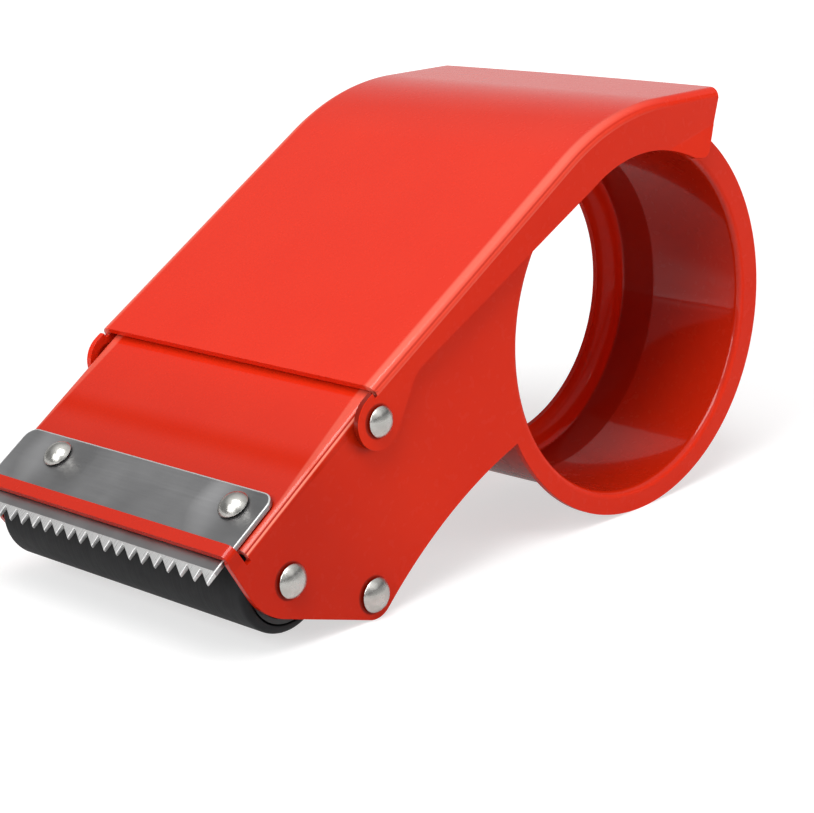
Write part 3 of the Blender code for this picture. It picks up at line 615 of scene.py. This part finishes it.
def frame_paint():
    """The same enamel with painted shade: darker towards the nose and over the web, with a
    painted dark reflection band across the web, where it is also duller, and inside the drum,
    darkest and dullest at its deep end; painted light on the drum's lip, painted shadow beside
    the pins' heads, and painted highlights and dark lines along the web's folds."""
    s, fresh, gloss = red_paint("red_frame_enamel", PLATE_Y)
    x, y, z = s.xyz(s.plane_coords())
    across = s.math("ABSOLUTE", y)
    # painted shade, darker towards the nose
    nose = s.ramp(x, NOSE_TONE_X, HINGE.x, NOSE_TONE, 1.0)
    # the web's top face, which gets painted shade
    high = s.math("GREATER_THAN", z, PLATE_TOP_Z - 2 * FRAME_BEND_R)
    # painted dark reflection band across the web, where the gloss is lowered too
    from_line = s.math("ABSOLUTE", s.math("SUBTRACT", x, web_point(DARK_BAND_S).x))
    dark_band = s.product(high, s.smooth(from_line, 0.0, DARK_BAND_HALF, 1.0, 0.0))
    # painted shade inside the drum, darkest in a band at its deep end, and painted light on its
    # lip
    drum = s.ramp(s.reach(DRUM_CENTRE), BORE_R, BORE_R + COLLAR_R / 2, 1.0, 0.0)
    deep = s.product(s.smooth(y, DEEP_Y - FIT, DEEP_Y + FIT, 0, 1),
                     s.smooth(y, DRUM_LIP_Y - FIT, DRUM_LIP_Y + 2 * FIT, 1, 0), drum)
    lip = s.product(s.smooth(y, DRUM_LIP_Y, DRUM_LIP_Y + 3 * FIT, 0, 1), drum)
    tone = s.product(nose, s.toned(drum, DRUM_TONE), s.toned(dark_band, DARK_BAND_TONE),
                     s.toned(deep, DEEP_TONE), s.toned(lip, DRUM_LIP_TONE),
                     s.toned(high, WEB_TONE), s.ring_of_painted_shadow(AXLE, AXLE_HEAD_R),
                     s.ring_of_painted_shadow(ROD, ROD_HEAD_R))
    dull = s.math("MAXIMUM", s.math("MAXIMUM", dark_band, s.product(deep, DEEP_DULL)), lip)

    # painted highlights and dark reflection lines along the web's folds, with a painted highlight
    # wedge beside them
    slope = math.tan(WEB_SLOPE)
    drop = s.math("MULTIPLY_ADD", x, -slope, slope * WEB_KINK_X - WEB_Z)
    folded = s.product(s.math("GREATER_THAN", s.math("ADD", z, drop), -FRAME_BEND_R),
                       s.math("GREATER_THAN", x, web_point(WEB_LENGTH).x))
    widened = s.math("ADD", across, s.ramp(x, web_point(BLADE_TOP_S).x, HINGE.x, 0.0,
                                           WEDGE_WIDTH))
    wedge = s.product(s.smooth(widened, WEDGE_Y, WEDGE_Y + 2 * FIT, 0.0, WEDGE_HIGHLIGHT),
                      s.math("LESS_THAN", across, WEB_DARK_LINE_Y))
    s.fold_painted_light(fresh, tone, folded, WEB_FOLD_HIGHLIGHT, WEB_FOLD_DARK_LINE, wedge)
    s.enamel_gloss(s.product(gloss, s.ramp(dull, 0.0, DEEP_DULL, 1.0, DULL_GLOSS)))
    return s.material


def blade_steel():
    """Rolled spring steel, brushed along the blade, with soft patches pressed by the rivets."""
    s = Shader("blade_steel", Metallic=1.0)
    grain = s.streaks((0.0003, 0.015, 0.0003), detail=6.0, roughness=0.7)
    cloud = s.noise(scale=45.0, detail=3.0)
    s.set(Base_Color=s.mottled(cloud, 0.35, 0.65, BLADE_GREYS),
          Roughness=s.math("ADD", s.between(grain, -0.05, 0.05), s.between(cloud, 0.32, 0.42)))
    height = s.product(s.noise(scale=90.0, detail=1.0), BLADE_WAVE)
    centre = web_point(BLADE_RIVET_S)
    for y in BLADE_RIVET_YS:
        rivet = REST @ Vector((centre.x, y, centre.y))
        dimple = s.smooth(s.vector_math("DISTANCE", s.coords(), rivet), BLADE_HEAD_R / 2,
                          DIMPLE_R, -DIMPLE_DEPTH, 0.0)
        height = s.math("ADD", height, dimple)
    s.bump(s.math("ADD", height, s.product(grain, BLADE_GRAIN)), distance=1.0)
    return s.material


def ground_and_highlight_steel():
    """Pale steel where the teeth are ground; on the blade's sheared border and rounded edges it
    is a painted highlight. Its burr scatters light.
    """
    s = Shader("ground_and_highlight_steel", Metallic=0.55)
    marks = s.streaks((0.003, 0.00015, 0.003), detail=4.0, roughness=0.7)
    s.set(Base_Color=s.mottled(marks, *NOISE_SPAN, GROUND_AND_HIGHLIGHT_GREYS),
          Roughness=s.between(marks, 0.24, 0.38))
    s.bump(marks, distance=0.00001, strength=0.5)
    return s.material


def bright_nickel():
    """Nickel-plated rivets with fine tumbling marks."""
    s = Shader("bright_nickel", Metallic=1.0)
    marks = s.noise(scale=700.0, detail=4.0)
    s.set(Base_Color=s.mottled(marks, 0.4, 0.6, NICKELS),
          Roughness=s.between(marks, 0.22, 0.30))
    s.bump(marks, distance=0.00002, strength=0.12)
    return s.material


def zinc_tube():
    """Zinc-plated tube with the cloudy crystals of the bath."""
    s = Shader("zinc_plated_steel", Metallic=1.0)
    cloud = s.noise(scale=350.0, detail=3.0)
    s.set(Base_Color=s.mottled(cloud, 0.35, 0.65, ZINCS),
          Roughness=s.between(cloud, 0.28, 0.42))
    s.bump(cloud, distance=0.00002, strength=0.4)
    return s.material


def black_rubber():
    """Ground rubber of the tyre: matt, with fine grinding lines round it."""
    s = Shader("black_rubber", Specular_IOR_Level=0.20)
    lines = s.streaks((0.01, 0.0002, 0.01), detail=3.0, roughness=0.6)
    dust = s.noise(scale=420.0, detail=4.0)
    s.set(Base_Color=s.mottled(dust, 0.35, 0.7, RUBBERS), Roughness=s.between(lines, 0.46, 0.60))
    s.bump(s.math("ADD", lines, s.product(dust, 0.5)), distance=0.00004, strength=0.35)
    return s.material


def black_plastic():
    """Moulded plastic of the roller's core and bushes."""
    s = Shader("black_plastic", Specular_IOR_Level=0.45)
    grain = s.noise(scale=800.0, detail=2.0)
    s.set(Base_Color=s.blend(grain, *PLASTICS), Roughness=s.between(grain, 0.36, 0.48))
    s.bump(grain, distance=0.00003, strength=0.3)
    return s.material


COVER_PAINT, FRAME_PAINT = cover_paint(), frame_paint()
BLADE_STEEL, GROUND_AND_HIGHLIGHT_STEEL, NICKEL = blade_steel(), ground_and_highlight_steel(), bright_nickel()
ZINC, RUBBER, PLASTIC = zinc_tube(), black_rubber(), black_plastic()


# frame with its drawn ring and drum
def fold_edge(p):
    """Where the bend below an outer web point starts on the side plate."""
    return Vector((p[0], p[1] - FRAME_BEND_R))


def bend_row(p, side):
    """Quarter bend from the side plate up to an outer web point."""
    row = []
    for i in range(BEND_STEPS + 1):
        a = math.pi / 2 * i / BEND_STEPS
        row.append((p[0], side * (PLATE_Y - FRAME_BEND_R * (1 - math.cos(a))),
                    p[1] - FRAME_BEND_R * (1 - math.sin(a))))
    return row


def on_web(s, y):
    """3-D point of the web, s forward of its kink and y across."""
    p = web_point(s)
    return (p[0], y, p[1])


def drum_rows():
    """Mouth, sleeve and turned-in lip of the drum, as rings of points."""
    mouth_profile = [(BORE_R + COLLAR_R - p[1], -PLATE_Y + COLLAR_R - p[0]) for p in arc(
        (0, 0), COLLAR_R, 0, math.pi / 2, BEND_STEPS)]
    lip_profile = [(BORE_R - DRUM_LIP_R + q[0], DRUM_LIP_Y + q[1]) for q in arc(
        (0, 0), DRUM_LIP_R, 0, math.pi / 2, 2 * BEND_STEPS)]
    rows = []
    for r, y in mouth_profile + lip_profile:
        ring = [(p[0], y, p[1]) for p in circle(DRUM_CENTRE, r, RING_STEPS)]
        rows.append(ring + ring[:1])
    return rows


def frame_shell():
    """Frame and drum as one shell: near plate with ring, far plate, web, lip and drum."""
    web_rear = Vector((WEB_REAR_X, WEB_Z))
    web_stations = [web_rear, web_point(0), web_point(WEB_LENGTH)]
    lip_stations = [web_point(LIP_REAR_S, LIP_RAISE), web_point(LIP_FRONT_S, LIP_RAISE)]
    relief = Vector((0, -RELIEF))
    chin = Vector((math.cos(CHIN_ANGLE), math.sin(CHIN_ANGLE)))
    heel_start = CHIN_ANGLE + math.pi / 2
    chin_foot = polar(ROD, HEEL_R, heel_start)
    chin_corner = chin_foot + chin * (NOSE_X - chin_foot.x) / chin.x
    lip_front = fold_edge(lip_stations[1])
    nose_top = Vector((NOSE_X, lip_front.y - RELIEF))
    front_outline = (
        [fold_edge(p) for p in web_stations]
        + [fold_edge(web_stations[2]) + relief, fold_edge(web_point(LIP_REAR_S)) + relief]
        + [fold_edge(lip_stations[0]), lip_front, nose_top]
        + fillet(nose_top, chin_corner, chin_foot, NOSE_R, 2 * BEND_STEPS))
    belly_from = polar(ROD, HEEL_R, BELLY_START)
    belly_to = polar(RING_CENTRE, RING_R, BELLY_END)
    half_chord = (belly_to - belly_from).length / 2
    belly_r = (half_chord ** 2 + BELLY_RISE ** 2) / (2 * BELLY_RISE)
    across = (belly_to - belly_from).normalized()
    belly_centre = (belly_from + belly_to) / 2 + Vector((across.y, -across.x)) * (
        belly_r - BELLY_RISE)
    top_edge_r = ARCH_R - (COVER_TOP_Z - PLATE_TOP_Z)
    ring_top = circles_meet(RING_CENTRE, RING_R, ARCH_CENTRE, top_edge_r)
    near_outline = (
        front_outline
        + arc(ROD, HEEL_R, heel_start, BELLY_START + math.tau, 2 * BEND_STEPS)
        + arc(belly_centre, belly_r, angle_of(belly_centre, belly_from),
              angle_of(belly_centre, belly_to), ARC_STEPS)[1:-1]
        + arc(RING_CENTRE, RING_R, BELLY_END, angle_of(RING_CENTRE, ring_top) + math.tau,
              RING_STEPS * 3 // 4)
        + arc(ARCH_CENTRE, top_edge_r, angle_of(ARCH_CENTRE, ring_top), math.pi / 2,
              ARC_STEPS)[1:]
        + [Vector((WEB_REAR_X + RELIEF, PLATE_TOP_Z)),
           Vector((WEB_REAR_X + RELIEF, fold_edge(web_rear).y - RELIEF)),
           Vector((WEB_REAR_X, fold_edge(web_rear).y - RELIEF))])
    cheek_leave = tangent_angle(ROD, HEEL_R, CHEEK_WAIST)
    far_outline = (
        front_outline
        + arc(ROD, HEEL_R, heel_start, cheek_leave + math.tau, 2 * BEND_STEPS)
        + fillet(polar(ROD, HEEL_R, cheek_leave), CHEEK_WAIST, fold_edge(web_rear),
                 CHEEK_FILLET, 2 * BEND_STEPS))
    pin_holes = [circle(centre, pin_r + FIT, PIN_STEPS) for centre, pin_r in (
        (AXLE, AXLE_PIN_R), (ROD, ROD_PIN_R), (HINGE, HINGE_PIN_R))]
    mouth = circle(DRUM_CENTRE, BORE_R + COLLAR_R, RING_STEPS)
    flat = PLATE_Y - FRAME_BEND_R

    bm = bmesh.new()
    fill(bm, upright([near_outline, mouth] + pin_holes, -PLATE_Y))
    fill(bm, upright([far_outline] + pin_holes, PLATE_Y))
    for side in (-1, 1):
        strip(bm, [bend_row(p, side) for p in web_stations])
    strip(bm, [bend_row(p, -1) + bend_row(p, 1)[::-1] for p in lip_stations])
    strip(bm, [[(p[0], -flat, p[1]), (p[0], flat, p[1])] for p in web_stations[:2]])
    web_loops = [[on_web(0, -flat), on_web(WEB_LENGTH, -flat), on_web(WEB_LENGTH, flat),
                  on_web(0, flat)]]
    for y in BLADE_RIVET_YS:
        web_loops.append([on_web(q[0], q[1]) for q in circle(
            (BLADE_RIVET_S, y), BLADE_RIVET_R + FIT, PIN_STEPS)])
    fill(bm, web_loops)
    strip(bm, drum_rows())
    shell = piece("frame_shell", welded_mesh("frame_shell", bm, (0, -1, 0)), FRAME_PAINT, "frame",
                  ("frame", "tape_drum"))
    sheet_modifiers(shell)


# cover
def cover_flange_outline():
    """Lower outline of a flange, from the ear's slit to the tail's rear edge."""
    bend_line = COVER_TOP_Z - COVER_BEND_R
    slit = [Vector((COVER_FRONT_X - RELIEF, bend_line)),
            Vector((COVER_FRONT_X - RELIEF, HINGE.y + EAR_R))]
    ear_end = BAND_FRONT + (BAND_FRONT - BAND_REAR) * (
        (EAR_END_X - BAND_FRONT.x) / (BAND_FRONT.x - BAND_REAR.x))
    ear_leave = tangent_angle(HINGE, EAR_R, ear_end)
    cutout_centre = (BAND_REAR.x, BAND_REAR.y - CUTOUT_R)
    cutout_end = polar(cutout_centre, CUTOUT_R, CUTOUT_STOP)
    tail_under = cover_stations()[-1][0] - cover_stations()[-1][1] * COVER_BEND_R
    return (slit
            + arc(HINGE, EAR_R, math.pi / 2, ear_leave + math.tau, 3 * BEND_STEPS)
            + fillet(polar(HINGE, EAR_R, ear_leave), ear_end, BAND_REAR, EAR_FILLET)
            + arc(cutout_centre, CUTOUT_R, math.pi / 2, CUTOUT_STOP, ARC_STEPS)
            + fillet(cutout_end, LOBE_TIP, LOBE_BACK, LOBE_TIP_R)
            + fillet(LOBE_TIP, LOBE_BACK, tail_under, LOBE_BACK_R))


def cover_stations():
    """Points along the cover's top line with the direction that faces outward there."""
    stations = [(Vector((COVER_FRONT_X, COVER_TOP_Z)), Vector((0, 1)))]
    for p in arc(ARCH_CENTRE, ARCH_R, math.pi / 2, math.pi / 2 - ARCH_TURN, ARC_STEPS):
        stations.append((p, (p - ARCH_CENTRE).normalized()))
    tail_dir = Vector((math.cos(ARCH_TURN), -math.sin(ARCH_TURN)))
    tail_out = Vector((math.sin(ARCH_TURN), math.cos(ARCH_TURN)))
    stations.append((stations[-1][0] + tail_dir * TAIL_LENGTH, tail_out))
    return stations


def cover_row(p, outward, bow=0.0):
    """Cross-section: bend, top, bend; the tail's edge bows out in its middle."""
    half = []
    for i in range(BEND_STEPS + 1):
        a = math.pi / 2 * i / BEND_STEPS
        drop = COVER_BEND_R * (1 - math.sin(a))
        half.append((p - outward * drop, COVER_HALF - COVER_BEND_R * (1 - math.cos(a))))
    for i in range(1, BEND_STEPS + 1):
        half.append((p, (COVER_HALF - COVER_BEND_R) * (1 - i / BEND_STEPS)))
    along = Vector((outward.y, -outward.x))
    row = []
    for side, points in ((-1, half), (1, half[:-1][::-1])):
        for q, y in points:
            q = q + along * bow * (1 - (y / COVER_HALF) ** 2)
            row.append((q[0], side * y, q[1]))
    return row


def cover_shell():
    """Cover with its folds, flanges and ears; each tail lobe is creased outward."""
    stations = cover_stations()
    bm = bmesh.new()
    rows = [cover_row(p, outward) for p, outward in stations[:-1]]
    rows.append(cover_row(*stations[-1], bow=TAIL_BOW))
    strip(bm, rows)
    bend_line = [p - outward * COVER_BEND_R for p, outward in stations]
    outline = bend_line[:1] + cover_flange_outline() + bend_line[:0:-1]
    hole = circle(HINGE, HINGE_PIN_R + FIT, PIN_STEPS)
    for side in (-1, 1):
        fill(bm, upright([outline, hole], side * COVER_HALF))
    bmesh.ops.remove_doubles(bm, verts=bm.verts, dist=WELD)

    crease = (CREASE_REAR - CREASE_FRONT).normalized()
    below = Vector((crease.y, -crease.x))
    lobe = [f for f in bm.faces if abs(f.normal.y) > FACING and max(v.co.x for v in f.verts) > 0]
    edges = {e for f in lobe for e in f.edges}
    verts = {v for f in lobe for v in f.verts}
    bmesh.ops.bisect_plane(bm, geom=lobe + list(edges) + list(verts), dist=WELD,
                           plane_co=(CREASE_FRONT.x, 0, CREASE_FRONT.y),
                           plane_no=(below.x, 0, below.y))
    for v in bm.verts:
        depth = (v.co.x - CREASE_FRONT.x) * below.x + (v.co.z - CREASE_FRONT.y) * below.y
        if abs(v.co.y) > COVER_HALF - FIT and v.co.x > ARCH_START_X and depth > 0:
            v.co.y += math.copysign(depth * math.tan(CREASE_ANGLE), v.co.y)
    shell = piece("cover_shell", welded_mesh("cover_shell", bm, (0, 0, 1)), COVER_PAINT, "cover",
                  ("cover",))
    sheet_modifiers(shell)


# blade, pins and roller
WEB_FRAME = Matrix(((-math.cos(WEB_SLOPE), 0, -math.sin(WEB_SLOPE)), (0, -1, 0),
                    (-math.sin(WEB_SLOPE), 0, math.cos(WEB_SLOPE)))).to_4x4()
TO_NEAR = Matrix.Rotation(math.radians(90.0), 4, "X")
TO_FAR = Matrix.Rotation(math.radians(-90.0), 4, "X")


def at(centre, y=0.0):
    return Matrix.Translation((centre[0], y, centre[1]))


def saw_blade():
    """Toothed strip in web coordinates; its teeth are ground, and a border of paler steel along
    its sheared edge is a painted highlight.
    """
    pitch = 2 * BLADE_HALF / TOOTH_COUNT
    teeth = []
    for i in range(TOOTH_COUNT):
        start = -BLADE_HALF + i * pitch
        teeth += [(TOOTH_ROOT_S, start), (TOOTH_TIP_S, start + pitch)]
    corners = [(BLADE_TOP_S, BLADE_HALF), (BLADE_TOP_S, -BLADE_HALF)]
    outline = (teeth + fillet(teeth[-1], corners[0], corners[1], BLADE_CORNER_R)
               + fillet(corners[0], corners[1], teeth[0], BLADE_CORNER_R))
    holes = [circle((BLADE_RIVET_S, -y), BLADE_RIVET_R + FIT, PIN_STEPS) for y in BLADE_RIVET_YS]
    mesh = solid_of_outline("saw_blade", [outline] + holes, BLADE_T)
    bm = bmesh.new()
    bm.from_mesh(mesh)
    bmesh.ops.bisect_plane(bm, geom=list(bm.faces) + list(bm.edges) + list(bm.verts), dist=WELD,
                           plane_co=(TOOTH_ROOT_S, 0, 0), plane_no=(1, 0, 0))
    for v in bm.verts:
        towards_tip = (v.co.x - TOOTH_ROOT_S) / (TOOTH_TIP_S - TOOTH_ROOT_S)
        if v.co.z > 0:
            v.co.z -= TOOTH_GRIND * max(0.0, towards_tip)
    bm.normal_update()
    top = [f for f in bm.faces
           if f.normal.z > FACING and f.calc_center_median().x < TOOTH_ROOT_S]
    highlight_border = bmesh.ops.inset_region(bm, faces=top, thickness=BLADE_EDGE_HIGHLIGHT, use_even_offset=True,
                                    use_boundary=True)["faces"]
    for face in bm.faces:
        ground = face.calc_center_median().x > TOOTH_ROOT_S
        face.material_index = GROUND_AND_HIGHLIGHT_SLOT if ground else 0
    # painted highlight: the sheared border gets the paler steel
    for face in highlight_border:
        face.material_index = GROUND_AND_HIGHLIGHT_SLOT
    bm.to_mesh(mesh)
    bm.free()
    blade = piece("saw_blade", mesh, BLADE_STEEL, "frame", ("cutter_blade",),
                  at(web_point(0, FIT + BLADE_T / 2)) @ WEB_FRAME)
    blade.data.materials.append(GROUND_AND_HIGHLIGHT_STEEL)
    edge_modifiers(blade, BLADE_EDGE)
    # the rounded edges get the paler steel too, as a painted highlight
    blade.modifiers["edges"].material = GROUND_AND_HIGHLIGHT_SLOT


def dome(radius, height, base, steps=2 * BEND_STEPS):
    """Rivet head from its crown down to its rim."""
    ball = (radius * radius + height * height) / (2 * height)
    reach = math.asin(min(1.0, radius / ball))
    return [(ball * math.sin(reach * i / steps),
             base + height - ball * (1 - math.cos(reach * i / steps))) for i in range(steps + 1)]


def rivet_profile(head_r, head_h, pin_r, head_base, upset_base):
    """A domed head, a shank and the upset end that holds it."""
    return dome(head_r, head_h, head_base) + [
        (pin_r, head_base), (pin_r, upset_base), (UPSET_R, upset_base),
        (UPSET_R, upset_base - UPSET_H / 2), (pin_r, upset_base - UPSET_H),
        (0, upset_base - UPSET_H)]


def double_profile(head_r, head_h, pin_r, head_base):
    """A pin with the same domed head at both ends."""
    top = dome(head_r, head_h, head_base) + [(pin_r, head_base)]
    return top + [(r, -h) for r, h in top[::-1]]


def rivets():
    for side, turn in (("near", TO_NEAR), ("far", TO_FAR)):
        name = "hinge_rivet_" + side
        profile = rivet_profile(HINGE_HEAD_R, HINGE_HEAD_H, HINGE_PIN_R, COVER_HALF + FIT,
                                INNER_Y - FIT)
        ob = piece(name + "_head", lathe(name, profile), NICKEL, "frame", (name,),
                   at(HINGE) @ turn)
        edge_modifiers(ob, PIN_EDGE)
    for side, y in zip(("near", "far"), BLADE_RIVET_YS):
        name = "blade_rivet_" + side
        profile = rivet_profile(BLADE_HEAD_R, BLADE_HEAD_H, BLADE_RIVET_R, BLADE_RAISE + FIT,
                                -SHEET - FIT)
        ob = piece(name + "_head", lathe(name, profile), NICKEL, "frame", (name,),
                   at(web_point(BLADE_RIVET_S), y) @ WEB_FRAME)
        edge_modifiers(ob, PIN_EDGE)
    for name, centre, head_r, pin_r in (("roller_axle", AXLE, AXLE_HEAD_R, AXLE_PIN_R),
                                        ("rear_rod", ROD, ROD_HEAD_R, ROD_PIN_R)):
        profile = double_profile(head_r, AXLE_HEAD_H, pin_r, PLATE_Y + FIT)
        ob = piece(name + "_pin", lathe(name, profile), NICKEL, "frame", (name,),
                   at(centre) @ TO_NEAR)
        edge_modifiers(ob, PIN_EDGE)


def tube_profile(r_in, r_out, half, edge):
    """Closed section of a tube with rounded outer rims."""
    top = arc((r_out - edge, half - edge), edge, 0, math.pi / 2, BEND_STEPS)
    return top + [(r_in, half), (r_in, -half)] + [(r, -h) for r, h in top[::-1]]


def roller():
    """Spoked core, rubber tyre and two bushes."""
    core_r = ROLLER_R - TYRE_WALL - FIT
    rim_in = core_r - CORE_RIM
    windows = []
    for k in range(SPOKES):
        mid = math.tau * (k + 1 / 2) / SPOKES
        wide = math.pi / SPOKES - math.asin(CORE_SPOKE / 2 / rim_in)
        slim = math.pi / SPOKES - math.asin(CORE_SPOKE / 2 / CORE_HUB_R)
        windows.append(arc((0, 0), rim_in, mid - wide, mid + wide, BEND_STEPS)
                       + arc((0, 0), CORE_HUB_R, mid + slim, mid - slim, BEND_STEPS))
    loops = [circle((0, 0), core_r, 2 * PIN_STEPS),
             circle((0, 0), CORE_BORE_R, PIN_STEPS)] + windows
    core = piece("roller_core_moulding", solid_of_outline("roller_core", loops, 2 * ROLLER_HALF),
                 PLASTIC, "roller", ("roller_core",), at(AXLE) @ TO_NEAR)
    edge_modifiers(core, PIN_EDGE)
    profile = tube_profile(ROLLER_R - TYRE_WALL, ROLLER_R, ROLLER_HALF, ROLLER_EDGE)
    tyre = piece("roller_tyre_rubber", lathe("roller_tyre", profile, 2 * PIN_STEPS, True), RUBBER,
                 "roller", ("roller_tyre",), at(AXLE) @ TO_NEAR)
    edge_modifiers(tyre, PIN_EDGE)
    for side, sign in (("near", -1), ("far", 1)):
        name = "roller_bush_" + side
        bore = AXLE_PIN_R + FIT
        profile = tube_profile(bore, bore + BUSH_WALL, BUSH_LENGTH / 2, FIT)
        place = at(AXLE, sign * (ROLLER_HALF - BUSH_LENGTH / 2))
        ob = piece(name + "_ring", lathe(name, profile, PIN_STEPS, True), PLASTIC, "roller",
                   (name,), place @ TO_NEAR)
        edge_modifiers(ob, TUBE_EDGE)


def spacer():
    profile = tube_profile(ROD_PIN_R + FIT, SPACER_R, INNER_Y - FIT, FIT)
    ob = piece("rear_spacer_tube", lathe("rear_spacer", profile, PIN_STEPS, True), ZINC, "frame",
               ("rear_spacer",), at(ROD) @ TO_NEAR)
    edge_modifiers(ob, TUBE_EDGE)


# studio
def photo_camera():
    """Camera at the photograph's place, fitted to the part's edges in it."""
    data = bpy.data.cameras.new("camera")
    data.sensor_fit, data.sensor_width, data.lens = "HORIZONTAL", CAMERA_SENSOR, CAMERA_LENS
    data.clip_start = CAMERA_CLIP
    camera = bpy.data.objects.new("camera", data)
    turn = Matrix((CAMERA_RIGHT, -CAMERA_DOWN, -CAMERA_AHEAD)).transposed().to_4x4()
    camera.matrix_world = REST @ Matrix.Translation(CAMERA_AT) @ turn
    scene.collection.objects.link(camera)
    scene.camera = camera


def pale_floor():
    """Floor that is white to the camera, and less so near the part, where its shadow lies;
    polished metal sees some of that white too."""
    bpy.ops.mesh.primitive_plane_add(size=2 * FLOOR_HALF)
    floor = bpy.context.object
    floor.name = "floor"
    s = Shader("pale_floor", Base_Color=FLOOR_GREY, Roughness=0.7, Emission_Color=WHITE)
    rays = s.node("ShaderNodeLightPath").outputs
    away = s.vector_math("LENGTH", s.coords())
    glow = s.product(s.math("MAXIMUM", rays["Is Camera Ray"], rays["Is Transmission Ray"]),
                     s.ramp(away, FLOOR_NEAR, FLOOR_WHITE, FLOOR_GLOW, 1.0))
    mirrored = s.product(rays["Is Glossy Ray"], s.ramp(away, FLOOR_NEAR, FLOOR_MIRROR_WHITE,
                                                       FLOOR_MIRROR_GLOW, 1.0))
    s.set(Emission_Strength=s.math("ADD", glow, mirrored))
    floor.data.materials.append(s.material)


def softbox(name, place, width, height, power):
    """Rectangular area lamp that faces the part."""
    data = bpy.data.lights.new(name, "AREA")
    data.shape, data.size, data.size_y, data.energy = "RECTANGLE", width, height, power
    ob = bpy.data.objects.new(name, data)
    ob.location = place
    ob.rotation_euler = (Vector(LAMPS_AIM) - Vector(place)).to_track_quat("-Z", "Y").to_euler()
    scene.collection.objects.link(ob)
    return ob


def studio_world():
    """White to the camera and a flat grey to rough surfaces. Glossy ones see a dim room with
    a dark horizon, white paper swept up far behind, and a board and a window on the near side."""
    world = bpy.data.worlds.new("world")
    world.use_nodes = True
    w = Nodes(world.node_tree)
    towards = w.node("ShaderNodeTexCoord").outputs["Generated"]
    x, y, z = w.xyz(towards)
    room = w.scaled(w.levels(z, ROOM_LEVELS), w.ramp(x, *ROOM_SIDEWAYS))
    swept = w.product(w.ramp(w.vector_math("DOT_PRODUCT", towards, SWEEP_AT), *SWEEP_SPAN),
                      w.ramp(z, *SWEEP_HEIGHT))
    board = w.levels(w.vector_math("DOT_PRODUCT", towards, BOARD_EDGE), BOARD_LEVELS)
    window = w.ramp(w.vector_math("DOT_PRODUCT", towards, WINDOW_AT), *WINDOW_SPAN)
    walls = w.blend(w.ramp(y, *NEAR_WALL_SPAN), w.blend(swept, room, WHITE),
                    w.blend(window, board, WHITE))
    rays = w.node("ShaderNodeLightPath").outputs
    glossy = w.blend(rays["Is Glossy Ray"], ROOM_GREY, walls)
    w.put(w.tree.nodes["Background"].inputs["Color"],
          w.blend(rays["Is Camera Ray"], glossy, WHITE))
    scene.world = world


frame_shell()
cover_shell()
saw_blade()
rivets()
roller()
spacer()
photo_camera()
pale_floor()
softbox("key", (-0.56, -0.40, 1.48), width=0.85, height=0.85, power=17.3)
softbox("left", (-1.35, -0.15, 0.85), width=0.80, height=0.75, power=12.0)
softbox("side", (0.95, -1.15, 0.40), width=1.0, height=0.7, power=9.5).visible_glossy = False
studio_world()
